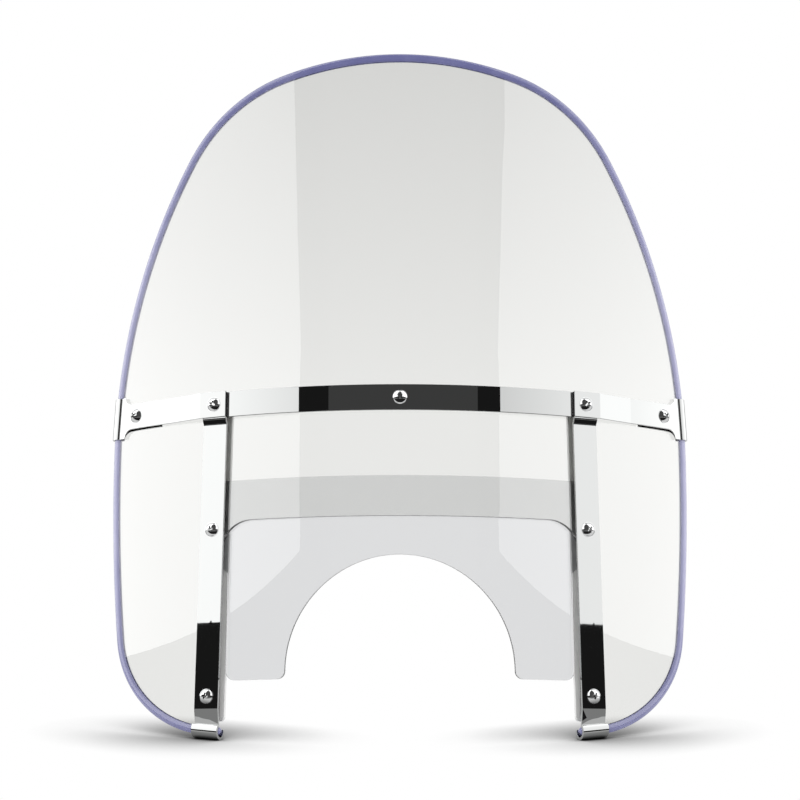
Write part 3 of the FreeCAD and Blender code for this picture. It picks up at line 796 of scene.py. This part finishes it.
@dataclass
class EdgeBead:
    """Round vinyl bead on the screen's edge, swept along it with its slot over the sheet.

    Attributes:
        bend: The bend that it follows.
        edge: Outline of the bead's outer edge.
        radius: Radius of the bead.
        middle: Radius of the bend at the middle of the sheet.
        slot_half: Half of the slot's width.
        slot_floor: Slot past the middle of the bead.
        tail: Where the bead stops, from the middle of the windshield.
        section_steps: Least steps of the section in a length of its radius.
        end_steps: Points that round off each end.
        end_turn: Turn of that rounding.
        merge: Distance within which the sweep's doubles are merged.
    """

    bend: Bend
    edge: EdgeOutline
    radius: float = 0.0045
    middle: float = 0.43775
    slot_half: float = 0.00235
    slot_floor: float = 0.0015
    tail: float = 0.1739
    section_steps: int = 8
    end_steps: int = 6
    end_turn: float = math.radians(86.0)
    merge: float = 1e-7

    def path(self) -> Object:
        """Line of the bead with the direction through the sheet and the swell at each point.

        Returns:
            The line, which becomes the bead.
        """
        right = self.edge.right_half(self.radius, self.tail)
        spots = [(-x, z) for x, z in reversed(right[1:])] + right
        corners = [self.bend.spot(x, z, self.middle) for x, z in spots]
        normals = [-self.bend.rearward(math.asin(x / self.middle)) for x, _ in spots]
        swell = [1.0] * len(corners)
        for end, inner in ((0, 1), (-1, -2)):
            way = (corners[end] - corners[inner]).normalized()
            tip, normal = corners[end], normals[end]
            for index in range(1, self.end_steps + 1):
                turn = self.end_turn * index / self.end_steps
                where = 0 if end == 0 else len(corners)
                corners.insert(where, tip + way * self.radius * math.sin(turn))
                normals.insert(where, normal)
                swell.insert(where, math.cos(turn))
        mesh = bpy.data.meshes.new("bead_path")
        mesh.from_pydata([tuple(c) for c in corners], [(i, i + 1) for i in range(len(corners) - 1)], [])
        facing = mesh.attributes.new("facing", "FLOAT_VECTOR", "POINT")
        facing.data.foreach_set("vector", [number for normal in normals for number in normal])
        size = mesh.attributes.new("swell", "FLOAT", "POINT")
        size.data.foreach_set("value", swell)
        return new_object("edge_bead_dressed", mesh)

    def profile(self) -> Object:
        """Section of the bead as a closed curve: x out of the sheet's front, y along the sheet.

        Returns:
            The section.
        """
        mouth = math.degrees(math.asin(self.slot_half / self.radius))
        step = self.radius / self.section_steps
        ring = arc_points((0.0, 0.0), self.radius, mouth - 180.0, 180.0 - mouth, step)
        outline = [(y, x) for x, y in ring]
        outline += [(self.slot_half, self.slot_floor), (-self.slot_half, self.slot_floor)]
        curve = bpy.data.curves.new("bead_section", "CURVE")
        curve.dimensions = "2D"
        spline = curve.splines.new("POLY")
        spline.points.add(len(outline) - 1)
        for point, (x, y) in zip(spline.points, outline):
            point.co = (x, y, 0.0, 1.0)
        spline.use_cyclic_u = True
        return new_object("bead_section", curve)

    @staticmethod
    def tree() -> NodeTree:
        """Node tree that sweeps a section along a line with the line's own facing and swell.

        Returns:
            The tree, with the inputs Geometry, Section and Material.
        """
        graph = GeometryGraph("bead_sweep", Section="Object")
        line = graph.add("GeometryNodeMeshToCurve", {"Mesh": graph.source["Geometry"]}).outputs["Curve"]
        facing = {"Curve": line, "Normal": graph.attribute("facing", "FLOAT_VECTOR")}
        turned = graph.add("GeometryNodeSetCurveNormal", facing, mode="FREE").outputs["Curve"]
        sweep = graph.add("GeometryNodeCurveToMesh", {
            "Curve": turned, "Profile Curve": graph.piece("Section"), "Scale": graph.attribute("swell"),
            "Fill Caps": True})
        return graph.ended(sweep.outputs["Mesh"])

    def build(self, finish: Material) -> Object:
        """Sweep the bead.

        Args:
            finish: Material of the bead.

        Returns:
            The finished piece.
        """
        piece, section = self.path(), self.profile()
        run_tree(piece, self.tree(), {"Section": section, "Material": finish})
        bpy.data.objects.remove(section)
        recalculated(piece.data, self.merge)
        return finished(piece, Slot.BEAD, "edge_bead")


# Chromed straps and clips


@dataclass
class ChromedBar:
    """Strap or clip with its sharp edges rounded, as plated bar has them.

    Attributes:
        node: Node of the frame that gives the form.
        edge: Radius of the rounded edges.
        rounds: Steps across a rounded edge.
        broad: Area of a face from which it is shaded flat.
        narrow: Area a length of outline below which a face belongs to a rounded edge.
        crease: Largest turn between broad faces that are shaded as one.
        fold: Largest turn between other faces that are shaded as one.
        wrap: Largest turn between the faces of a rounded edge that are shaded as one.
        corner: Smallest turn of an edge that is rounded.
        level: Largest turn between the node's triangles that are made one face.
        merge: Distance within which the node's doubles are merged.
    """

    node: str
    edge: float = 0.0005
    rounds: int = 3
    broad: float = 0.00006
    narrow: float = 0.0002
    crease: float = math.radians(3.0)
    fold: float = math.radians(22.0)
    wrap: float = math.radians(35.0)
    corner: float = math.radians(40.0)
    level: float = math.radians(0.4)
    merge: float = 2e-6

    def build(self, finish: Material) -> Object:
        """Round the edges of a copy of the node's form.

        Args:
            finish: Material of the bar.

        Returns:
            The finished piece.
        """
        shaped = bmesh.new()
        shaped.from_mesh(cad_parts[self.node].data)
        bmesh.ops.remove_doubles(shaped, verts=shaped.verts, dist=self.merge)
        bmesh.ops.dissolve_limit(shaped, angle_limit=self.level, verts=shaped.verts, edges=shaped.edges,
                                 delimit={"SHARP"})
        for edge in shaped.edges:
            edge.smooth = True
        mesh = bpy.data.meshes.new(self.node + "_dressed")
        shaped.to_mesh(mesh)
        shaped.free()
        for spare in ("custom_normal", "sharp_face"):
            if spare in mesh.attributes:
                mesh.attributes.remove(mesh.attributes[spare])
        mesh.polygons.foreach_set("use_smooth", [True] * len(mesh.polygons))
        piece = new_object(self.node + "_dressed", mesh)
        bevel = piece.modifiers.new("rounded edges", "BEVEL")
        bevel.width = self.edge
        bevel.segments = self.rounds
        bevel.limit_method = "ANGLE"
        bevel.angle_limit = self.corner
        bevel.use_clamp_overlap = True
        self.shade(baked(piece).data)
        piece.data.materials.clear()
        piece.data.materials.append(finish)
        return finished(piece, Slot.STRAP, self.node)

    def shade(self, mesh: Mesh) -> None:
        """Shade flats flat and bends smooth: each corner takes the faces round it that turn little from its own.

        Args:
            mesh: Mesh of the bar with its rounded edges.
        """
        shaped = bmesh.new()
        shaped.from_mesh(mesh)
        shaped.normal_update()
        areas = {face: face.calc_area() for face in shaped.faces}
        normals = []
        for face in shaped.faces:
            thin = areas[face] < self.narrow * face.calc_perimeter()
            limit = self.wrap if thin else self.crease if areas[face] > self.broad else self.fold
            for loop in face.loops:
                near = [other for other in loop.vert.link_faces if other.normal.angle(face.normal, 0.0) < limit]
                lead = max(near, key=areas.get)
                if areas[lead] > self.broad:
                    near = [other for other in loop.vert.link_faces if areas[other] > self.broad
                            and other.normal.angle(lead.normal, 0.0) < self.crease]
                normals.append(sum((other.normal * areas[other] for other in near), Vector()).normalized())
        shaped.free()
        mesh.normals_split_custom_set(normals)


# Screws, nuts and washers


@dataclass(frozen=True)
class StrapLine:
    """Middle line of the right front strap, which spreads a little towards its foot.

    Attributes:
        half_way: Half of the strap's drop below the cross strap, where it lies square to the bend.
        angle: Angle round the bend at that height.
        spread: Turn of the line out of the upright.
    """

    half_way: float = 0.15794
    angle: float = math.radians(24.2611)
    spread: float = math.radians(0.87)

    def place(self, height: float, radius: float) -> Spot:
        """Angle round the bend and height of a place on the line.

        Args:
            height: Height along the strap, from the middle of the cross strap.
            radius: Radius of the bend.

        Returns:
            The angle and the height above the cross strap.
        """
        along = height + self.half_way
        aside = -along * math.sin(self.spread)
        return self.angle + math.atan(aside / radius), along * math.cos(self.spread) - self.half_way


@dataclass(frozen=True)
class ScrewLine:
    """Where a row of screws sits: its places on the bend and its stack before and behind the screen's front.

    Attributes:
        places: Angle round the bend and height of each screw.
        front: Seat of the head before the screen's front face.
        back: Seat of the nut behind the screen's front face.
    """

    places: list[Spot]
    front: float
    back: float


@dataclass(frozen=True)
class Stack:
    """What the screws hold together, with the rows that they stand in.

    Attributes:
        bend: The bend that all of it follows.
        sheet: Thickness of the main screen.
        panel: Thickness of the lower panel.
        panel_gap: Gap before the lower panel and behind it.
        strap: Thickness of the cross strap and the front straps.
        clip: Thickness of the end clips.
        back_strap: Thickness of the back straps.
        bead: Radius of the bead, which the clips roll round.
        bead_gap: Gap between the bead and the clips.
        seat_gap: Gap at the rubber pieces.
        flat_washer: Thickness of the flat washer.
        outer_angle: Angle round the bend of the right outer screw.
        middle_height: Height of the middle screws along the straps.
        lower_height: Height of the lower screws along the straps.
    """

    bend: Bend
    sheet: float = 0.0045
    panel: float = 0.003
    panel_gap: float = 0.0003
    strap: float = 0.0025
    clip: float = 0.0018
    back_strap: float = 0.003
    bead: float = 0.0045
    bead_gap: float = 0.0003
    seat_gap: float = 0.0001
    flat_washer: float = 0.0012
    outer_angle: float = math.radians(36.645)
    middle_height: float = -0.123
    lower_height: float = -0.28308

    @property
    def standoff(self) -> float:
        """Gap between the screen and the clips or straps on either side."""
        return self.bead + self.bead_gap - self.sheet / 2.0

    @property
    def back_strap_front(self) -> float:
        """Front of the back straps behind the screen's front face."""
        return self.sheet + self.panel + 2.0 * self.panel_gap

    @property
    def rows(self) -> dict[str, ScrewLine]:
        """Rows of screws.

        Returns:
            The screw lines by their name.
        """
        line, radius = StrapLine(), self.bend.radius
        front, back = self.standoff, self.sheet + self.standoff
        seat = self.back_strap_front + self.back_strap
        return {
            "centre": ScrewLine([(0.0, 0.0)], front + self.strap, back + self.flat_washer),
            "outer": ScrewLine(self.pair(self.outer_angle, 0.0), front + self.clip, back + self.clip + self.seat_gap),
            "corner": ScrewLine(self.pair(*line.place(0.0, radius)), front + 2.0 * self.strap + self.clip, seat),
            "middle": ScrewLine(self.pair(*line.place(self.middle_height, radius)), front + self.strap, seat),
            "lower": ScrewLine(self.pair(*line.place(self.lower_height, radius)), front + self.strap, seat),
        }

    @staticmethod
    def pair(angle: float, height: float) -> list[Spot]:
        """The same place on both sides."""
        return [(side.value * angle, height) for side in Side]


def row_tree() -> NodeTree:
    """Node tree that sets one piece on each point of a row, along the point's own axis.

    Returns:
        The tree, with the inputs Geometry, Piece, Turn, Seed and Material.
    """
    graph = GeometryGraph("row_of_pieces", Piece="Object", Turn="Float", Seed="Int")
    add, source = graph.add, graph.source
    axis = graph.attribute("axis", "FLOAT_VECTOR")
    aimed = add("FunctionNodeAlignRotationToVector", {"Vector": axis}, axis="Z").outputs["Rotation"]
    chance = add("FunctionNodeRandomValue", {"Max": source["Turn"], "Seed": source["Seed"]}, data_type="FLOAT")
    spin = add("FunctionNodeAxisAngleToRotation", {"Angle": chance.outputs["Value"]}).outputs["Rotation"]
    turned = add("FunctionNodeRotateRotation", {"Rotation": aimed, "Rotate By": spin}, rotation_space="LOCAL")
    placed = add("GeometryNodeInstanceOnPoints", {
        "Points": source["Geometry"], "Instance": graph.piece("Piece"), "Rotation": turned.outputs["Rotation"]})
    return graph.ended(placed.outputs["Instances"])


@dataclass
class Fasteners:
    """Screws, acorn nuts, washers and spacers.

    Attributes:
        stack: What they hold together.
        shank, shank_in_nut: Radius of the shank and its reach past the nut's seat.
        head, head_height: Radius and height of the head.
        hole, washer: Inner and outer radius of the washers and spacers.
        nut_apothem, nut_height, nut_dome, nut_bore, nut_depth: Hexagon, dome and bore of the acorn nuts.
        recess_arm, recess_width, recess_depth: Half of the length and width of the cross recess, and its depth.
        recess_taper: Share of the arm's length at the top and the bottom of the recess.
        recess_narrowing: Share of the arm's width that tapers with its length.
        rim, chamfer, soft_rim, hard_rim: Rounding of the screws, nuts, rubber pieces and the flat washer.
        screw_steps, nut_steps, ring_steps: Steps round a screw, a nut and a washer.
        chamfer_steps, dome_step: Steps of the nut's chamfer and length of a step on its dome.
        tree: Node tree that sets the pieces out.
    """

    stack: Stack
    shank: float = 0.003175
    shank_in_nut: float = 0.0065
    head: float = 0.0073
    head_height: float = 0.0042
    hole: float = 0.003475
    washer: float = 0.0070
    nut_apothem: float = 0.00555
    nut_height: float = 0.0055
    nut_dome: float = 0.0050
    nut_bore: float = 0.003275
    nut_depth: float = 0.0068
    recess_arm: float = 0.0040
    recess_width: float = 0.0009
    recess_depth: float = 0.0028
    recess_taper: Spot = (1.2, 0.35)
    recess_narrowing: float = 0.4
    rim: float = 0.0003
    chamfer: float = 0.0008
    soft_rim: float = 0.0006
    hard_rim: float = 0.0002
    screw_steps: int = 64
    nut_steps: int = 72
    ring_steps: int = 40
    chamfer_steps: int = 5
    dome_step: float = 0.0005
    tree: NodeTree = field(default_factory=row_tree)

    def screw(self, name: str, line: ScrewLine) -> Object:
        """One domed screw with a cross recess, its axis on Z and the screen's front face at zero.

        Args:
            name: Name of the screw.
            line: Row that it belongs to.

        Returns:
            The screw.
        """
        rise = self.head_height
        ball = (self.head ** 2 + rise ** 2) / (2.0 * rise)
        middle = -line.front - rise + ball
        lean = math.degrees(math.asin(self.head / ball))
        rim = self.rim
        cap = arc_points((0.0, middle), ball, 270.0, 270.0 + lean, 2.0 * rim)
        profile = [(0.0, cap[0][1])] + cap[1:]
        end = line.back + self.shank_in_nut
        profile[-1] = (self.head - rim, profile[-1][1] - rim)
        profile += [(self.head, -line.front - rim), (self.head - rim / 2.0, -line.front), (self.shank, -line.front)]
        profile += [(self.shank, end - 2.0 * rim), (self.shank - 2.0 * rim, end), (0.0, end)]
        piece = new_object(name, revolved(name, profile, self.screw_steps))
        cutters = []
        for turn in (0.0, 90.0):
            cutter = self.recess_cutter(name + "_recess", -line.front - rise, math.radians(turn))
            cut = piece.modifiers.new("recess", "BOOLEAN")
            cut.operation = "DIFFERENCE"
            cut.solver = "EXACT"
            cut.object = cutter
            cutters.append(cutter)
        baked(piece)
        for cutter in cutters:
            bpy.data.objects.remove(cutter)
        smoothed(piece.data)
        return piece

    def recess_cutter(self, name: str, top: float, turn: float) -> Object:
        """One tapered arm of the cross recess, a little proud of the head's top.

        Args:
            name: Name of the arm.
            top: Height of the head's top.
            turn: Turn of the arm about the axis.

        Returns:
            The arm.
        """
        proud = self.recess_depth / 3.0
        corners = []
        for height, taper in zip((top - proud, top + self.recess_depth), self.recess_taper):
            arm, width = self.recess_arm * taper, self.recess_width * (1.0 + self.recess_narrowing * (taper - 1.0))
            corners += [Vector((x * arm, y * width, height)) for x, y in ((-1, -1), (1, -1), (1, 1), (-1, 1))]
        faces = [(0, 1, 2, 3), (4, 5, 6, 7), (0, 1, 5, 4), (1, 2, 6, 5), (2, 3, 7, 6), (3, 0, 4, 7)]
        spun = [Matrix.Rotation(turn, 3, "Z") @ corner for corner in corners]
        return new_object(name, new_mesh(name, spun, faces))

    def nut(self, name: str, seat: float) -> Object:
        """One acorn nut.

        Args:
            name: Name of the nut.
            seat: Its seat behind the screen's front face.

        Returns:
            The nut.
        """
        corner = self.nut_apothem / math.cos(math.radians(30.0))
        chamfer = self.chamfer
        low = corner - 2.0 * chamfer

        def hexagon(turn: float) -> float:
            """Reach of the hexagon at an angle."""
            part = (math.degrees(turn) % 60.0) - 30.0
            return self.nut_apothem / math.cos(math.radians(part))

        steps = [index / self.chamfer_steps for index in range(self.chamfer_steps + 1)]
        profile = [(0.0, self.nut_depth), (self.nut_bore, self.nut_depth), (self.nut_bore, 0.0)]
        profile += [(low + (corner - low) * part, chamfer * part) for part in steps]
        profile += [(low + (corner - low) * part, self.nut_height - chamfer * part) for part in reversed(steps)]
        dome = arc_points((0.0, self.nut_height), self.nut_dome, 0.0, 90.0, self.dome_step)
        profile += dome[:-1] + [(0.0, dome[-1][1])]
        seated = [(radius, height + seat) for radius, height in profile]
        return new_object(name, revolved(name, seated, self.nut_steps, limit=hexagon))

    def ring(self, name: str, start: float, length: float, rounding: float) -> Object:
        """One washer or spacer with rounded rims.

        Args:
            name: Name of the ring.
            start: Its front, behind the screen's front face.
            length: Its thickness.
            rounding: Radius of its rims.

        Returns:
            The ring.
        """
        end = start + length
        turn = rounding * math.sqrt(0.5)
        soft = rounding - turn
        profile = [(self.hole, start + soft), (self.hole + soft, start)]
        for height, sign in ((start, 1.0), (end, -1.0)):
            rim = [(self.washer - rounding, height), (self.washer - soft, height + sign * soft),
                   (self.washer, height + sign * rounding)]
            profile += rim if sign > 0 else rim[::-1]
        profile += [(self.hole + soft, end), (self.hole, end - soft)]
        return new_object(name, revolved(name, profile, self.ring_steps, closed=True))

    def set_out(self, node: str, models: dict[str, Object], finish: Material, slot: Slot,
                turn: float = 0.0, seed: int = 0) -> Object:
        """Set one piece on each screw line of some rows and join them.

        Args:
            node: Node of the frame that the group stands for.
            models: The piece of each row.
            finish: Material of the group.
            slot: Material slot of the record.
            turn: Largest turn of a piece about its own axis.
            seed: Seed of the turns.

        Returns:
            The finished group.
        """
        groups = []
        bend = self.stack.bend
        for row, model in models.items():
            points = bpy.data.meshes.new(node)
            places = self.stack.rows[row].places
            spots = [bend.spot(bend.radius * math.sin(angle), z, bend.radius) for angle, z in places]
            points.from_pydata([tuple(spot) for spot in spots], [], [])
            axis = points.attributes.new("axis", "FLOAT_VECTOR", "POINT")
            ways = [bend.rearward(angle) for angle, _ in places]
            axis.data.foreach_set("vector", [number for way in ways for number in way])
            group = new_object(f"{node}_{row}", points)
            run_tree(group, self.tree, {"Piece": model, "Turn": turn, "Seed": seed, "Material": finish})
            groups.append(group)
        whole = groups[0]
        joined = bmesh.new()
        for group in groups:
            joined.from_mesh(group.data)
        mesh = bpy.data.meshes.new(node + "_dressed")
        joined.to_mesh(mesh)
        joined.free()
        mesh.materials.append(finish)
        whole.data = smoothed(mesh)
        whole.name = node + "_dressed"
        for spare in groups[1:] + list(models.values()):
            bpy.data.objects.remove(spare)
        return finished(whole, slot, node)

    def build(self, bright: Material, rubber: Material) -> None:
        """Build all of them.

        Args:
            bright: Finish of the screws, the nuts and the flat washer.
            rubber: Finish of the rubber pieces.
        """
        stack, rows = self.stack, self.stack.rows
        full_turn = 2.0 * math.pi
        for seed, (row, line) in enumerate(rows.items()):
            node = "centre_screw" if row == "centre" else f"{row}_screws"
            self.set_out(node, {row: self.screw(node + "_model", line)}, bright, Slot.FASTENER, full_turn, seed)
        nuts = {row: self.nut(f"{row}_nut", line.back) for row, line in rows.items()}
        self.set_out("acorn_nuts", nuts, bright, Slot.FASTENER, full_turn, len(rows))
        soft, behind = stack.standoff - stack.seat_gap, stack.sheet + stack.seat_gap
        groups: dict[str, tuple[Iterable[str], float, float]] = {
            "front_rubber_washers": (rows, -soft, soft),
            "rear_rubber_washers": (("centre", "outer"), behind, soft),
            "strap_spacers": (("corner", "lower"), behind, stack.back_strap_front - stack.sheet - stack.seat_gap),
        }
        for node, (names, start, length) in groups.items():
            models = {row: self.ring(f"{node}_{row}_model", start, length, self.soft_rim) for row in names}
            self.set_out(node, models, rubber, Slot.RUBBER)
        washer = self.ring("flat_washer_model", stack.sheet + stack.standoff, stack.flat_washer, self.hard_rim)
        self.set_out("centre_flat_washer", {"centre": washer}, bright, Slot.FASTENER)


# The studio


@dataclass(frozen=True)
class Card:
    """Large card of the studio, a patch of a sphere round the windshield that only mirror reflections show.

    Attributes:
        name: Name of the card.
        azimuths: First and last side at the level height, in degrees from straight ahead, positive to the right.
        low: Lowest edge at the first and last side, in degrees.
        high: Highest edge at the first and last side, in degrees.
        glow: Brightness at the first and last side.
        lean: Turn of the first and last side for each degree above the level height; below it they are upright.
        level: The level height, in degrees.
        distance: Radius of the sphere.
        middle: Height of the sphere's middle.
        columns: Steps across.
        rows: Steps up.
    """

    name: str
    azimuths: Spot
    low: Spot = (-4.0, -4.0)
    high: Spot = (85.0, 85.0)
    glow: Spot = (0.02, 0.02)
    lean: Spot = (0.0, 0.0)
    level: float = 23.5
    distance: float = 6.0
    middle: float = 0.33
    columns: int = 32
    rows: int = 12

    def build(self) -> Object:
        """Build the card.

        Returns:
            The card's object.
        """
        corners, glow = [], []
        for row in range(self.rows + 1):
            for column in range(self.columns + 1):
                share = column / self.columns
                height = self.part((self.part(self.low, share), self.part(self.high, share)), row / self.rows)
                rise = max(0.0, height - self.level)
                side = self.part(self.azimuths, share) + self.part(self.lean, share) * rise
                lift, aside = math.radians(height), math.radians(side)
                flat = self.distance * math.cos(lift)
                corners.append((flat * math.sin(aside), -flat * math.cos(aside),
                                self.middle + self.distance * math.sin(lift)))
                glow.append(self.part(self.glow, share))
        wide = self.columns + 1
        starts = [row * wide + column for row in range(self.rows) for column in range(self.columns)]
        faces = [(start, start + 1, start + wide + 1, start + wide) for start in starts]
        mesh = bpy.data.meshes.new(self.name)
        mesh.from_pydata(corners, [], faces)
        mesh.attributes.new("glow", "FLOAT", "POINT").data.foreach_set("value", glow)
        mesh.materials.append(self.material())
        card = new_object(self.name, mesh)
        for ray in ("camera", "diffuse", "transmission", "shadow"):
            setattr(card, f"visible_{ray}", False)
        return card

    @staticmethod
    def part(span: Spot, share: float) -> float:
        """Value at a share of a span."""
        return span[0] + (span[1] - span[0]) * share

    def material(self) -> Material:
        """Plain light of the card's own brightness.

        Returns:
            The card's material.
        """
        material, graph = ShaderGraph.of_material(self.name)
        level = graph.add("ShaderNodeAttribute", attribute_name="glow").outputs["Fac"]
        light = graph.add("ShaderNodeEmission", {"Strength": level}).outputs["Emission"]
        graph.fill(graph.tree.nodes["Material Output"], {"Surface": light})
        return material


@dataclass
class Studio:
    """White table and surroundings, soft boxes and dark cards for the reflections, and the camera.

    Attributes:
        bend: The bend, for the camera's place.
        distance: Camera to the screen's front face.
        pixel: Width of a pixel at that distance.
        image: Pixels across the picture.
        sensor: Width of the sensor, in millimetres.
        drop: Camera below the middle of the cross strap.
        table_front: Front edge of the table.
        table_back: Back edge of the table.
        table_half: Half of the table's width.
        white: Colour of the table.
        fade_height: Slope of a view up to which the backdrop fades.
        fall_off: Loss of brightness a unit of that slope.
        shadow_reach: Reach of the shadow close to the feet.
        shadow_power: Depth of that shadow.
        shadow_samples: Samples of that shadow.
        cards: Cards that the reflections show.
    """

    bend: Bend
    distance: float = 2.0
    pixel: float = 0.000965
    image: int = 800
    sensor: float = 36.0
    drop: float = 0.002
    table_front: float = -0.2
    table_back: float = 6.0
    table_half: float = 3.0
    white: tuple[float, float, float, float] = (0.99, 0.99, 0.99, 1.0)
    fade_height: float = 0.2
    fall_off: float = 1.15
    shadow_reach: float = 0.11
    shadow_power: float = 2.6
    shadow_samples: int = 32
    cards: tuple[Card, ...] = (
        Card("middle_card", (-21.2, 23.1), glow=(0.1, 0.1), lean=(-0.4, 0.42)),
        Card("left_black_card", (-30.3, -21.2), lean=(-0.52, -0.4)),
        Card("right_black_card", (23.1, 30.0), lean=(0.42, 0.5)),
        Card("left_soft_box", (-115.0, -30.3), low=(-3.6, 17.6), glow=(3.5, 1.85), lean=(0.0, -0.52)),
        Card("right_soft_box", (30.0, 115.0), low=(17.6, -3.6), glow=(1.5, 3.0), lean=(0.5, 0.0)),
        Card("left_low_card", (-115.0, -30.3), high=(-3.6, 17.6), lean=(0.0, -0.52)),
        Card("right_low_card", (30.0, 115.0), high=(17.6, -3.6), lean=(0.5, 0.0)),
        Card("table_edge_card", (-115.0, 115.0), low=(-9.0, -9.0), high=(-4.0, -4.0), glow=(0.45, 0.45)),
        Card("floor_card", (-115.0, 115.0), low=(-80.0, -80.0), high=(-9.0, -9.0)),
    )

    def build(self) -> None:
        """Set up the camera, the table, the cards and the surroundings."""
        scene = bpy.context.scene
        scene.view_settings.view_transform = "Standard"
        self.camera(scene)
        self.table()
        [card.build() for card in self.cards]
        self.surroundings(scene)

    def camera(self, scene: Scene) -> None:
        """Level camera straight before the middle of the windshield.

        Args:
            scene: Scene that gets it.
        """
        data = bpy.data.cameras.new("camera")
        data.sensor_width = self.sensor
        data.lens = self.sensor * self.distance / (self.pixel * self.image)
        camera = new_object("camera", data)
        camera.location = (0.0, self.bend.base.y - self.distance, self.bend.base.z - self.drop)
        camera.rotation_euler = (math.pi / 2.0, 0.0, 0.0)
        scene.camera = camera

    def table(self) -> Object:
        """White table that keeps the soft shadow of the feet.

        Returns:
            The table.
        """
        half, front, back = self.table_half, self.table_front, self.table_back
        mesh = bpy.data.meshes.new("table")
        mesh.from_pydata([(-half, front, 0.0), (half, front, 0.0), (half, back, 0.0), (-half, back, 0.0)], [],
                         [(0, 1, 2, 3)])
        mesh.materials.append(self.paper())
        return new_object("table", mesh)

    def paper(self) -> Material:
        """White paper: plain to the light, and to the eye white apart from the shadow close to the feet.

        Returns:
            The table's material.
        """
        material, graph = ShaderGraph.of_material("table_paper")
        plain = graph.fill(graph.tree.nodes["Principled BSDF"], {
            "Base Color": self.white, "Roughness": 1.0, "Specular IOR Level": 0.0})
        near = graph.add("ShaderNodeAmbientOcclusion", {"Distance": self.shadow_reach}, samples=self.shadow_samples)
        shade = graph.math("POWER", near.outputs["AO"], self.shadow_power)
        bright = graph.add("ShaderNodeEmission", {"Strength": shade}).outputs["Emission"]
        ray = graph.add("ShaderNodeLightPath").outputs
        direct = graph.math("MAXIMUM", ray["Is Camera Ray"], ray["Is Glossy Ray"])
        seen = graph.math("MAXIMUM", direct, ray["Is Transmission Ray"])
        mixed = graph.add("ShaderNodeMixShader", {"Fac": seen, 1: plain.outputs["BSDF"], 2: bright}).outputs["Shader"]
        graph.fill(graph.tree.nodes["Material Output"], {"Surface": mixed})
        return material

    def surroundings(self, scene: Scene) -> None:
        """White all round; behind the clear sheets the backdrop fades a little towards the top.

        Args:
            scene: Scene that gets it.
        """
        scene.world = bpy.data.worlds.new("studio")
        scene.world.use_nodes = True
        graph = ShaderGraph(scene.world.node_tree)
        height = graph.add("ShaderNodeSeparateXYZ", {"Vector": graph.coordinate("Generated")}).outputs["Z"]
        fade = graph.ranged(height, (0.0, self.fade_height), (1.0, 1.0 - self.fade_height * self.fall_off))
        behind = graph.add("ShaderNodeLightPath").outputs["Is Transmission Ray"]
        level = graph.add("ShaderNodeMix", {"Factor": behind, "A": 1.0, "B": fade}).outputs["Result"]
        graph.fill(graph.tree.nodes["Background"], {"Color": (1.0, 1.0, 1.0, 1.0), "Strength": level})


# The whole


def find_bend() -> Bend:
    """The bend, placed from the flat washer that sits square behind the middle of the cross strap.

    Returns:
        The bend with its base in the frame's axes.
    """
    washer_depth = 0.00765
    low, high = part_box("centre_flat_washer")
    rake = Bend.rake
    offset = Vector((0.0, washer_depth * math.cos(rake), -washer_depth * math.sin(rake)))
    return Bend((Vector(low) + Vector(high)) / 2.0 - offset)


def main() -> None:
    """Build and dress the windshield, then the studio around it."""
    logging.basicConfig(level=logging.INFO, format="%(name)s: %(message)s")
    bend, edge = find_bend(), EdgeOutline()
    stack = Stack(bend)
    every_hole = [place for line in stack.rows.values() for place in line.places]

    screen = ClearPlastic("clear_screen_finish", (0.855, 0.857, 0.84)).material()
    panel = ClearPlastic("clear_panel_finish", (0.765, 0.77, 0.778)).material()
    vinyl = Vinyl("bead_finish", (0.49, 0.49, 0.71)).material()
    plating = Chrome("strap_chrome", (0.402, 0.407, 0.404), gloss=(0.004, 0.02), relief=0.000006).material()
    zinc = Chrome("backing_zinc", (0.88, 0.88, 0.87), gloss=(0.4, 0.55), relief=0.00002, metal=0.0).material()
    bright = Chrome("fastener_chrome", (0.58, 0.585, 0.585), relief=0.000005).material()
    rubber = Rubber("washer_rubber", (0.018, 0.018, 0.02)).material()

    outline = ScreenOutline(edge).closed()
    ClearSheet("main_screen", bend, bend.radius, stack.sheet, outline, every_hole).build(screen, Slot.SCREEN)
    front, holes = bend.radius - stack.sheet - stack.panel_gap, stack.rows["middle"].places
    ClearSheet("lower_screen", bend, front, stack.panel, PanelOutline().closed(), holes).build(panel, Slot.PANEL)
    EdgeBead(bend, edge).build(vinyl)
    for node in ("centre_strap", "left_end_clip", "right_end_clip", "left_front_strap", "right_front_strap"):
        ChromedBar(node).build(plating)
    for node in ("left_back_strap", "right_back_strap"):
        ChromedBar(node).build(zinc)
    Fasteners(stack).build(bright, rubber)
    Studio(bend).build()


if __name__ == "__main__":
    main()
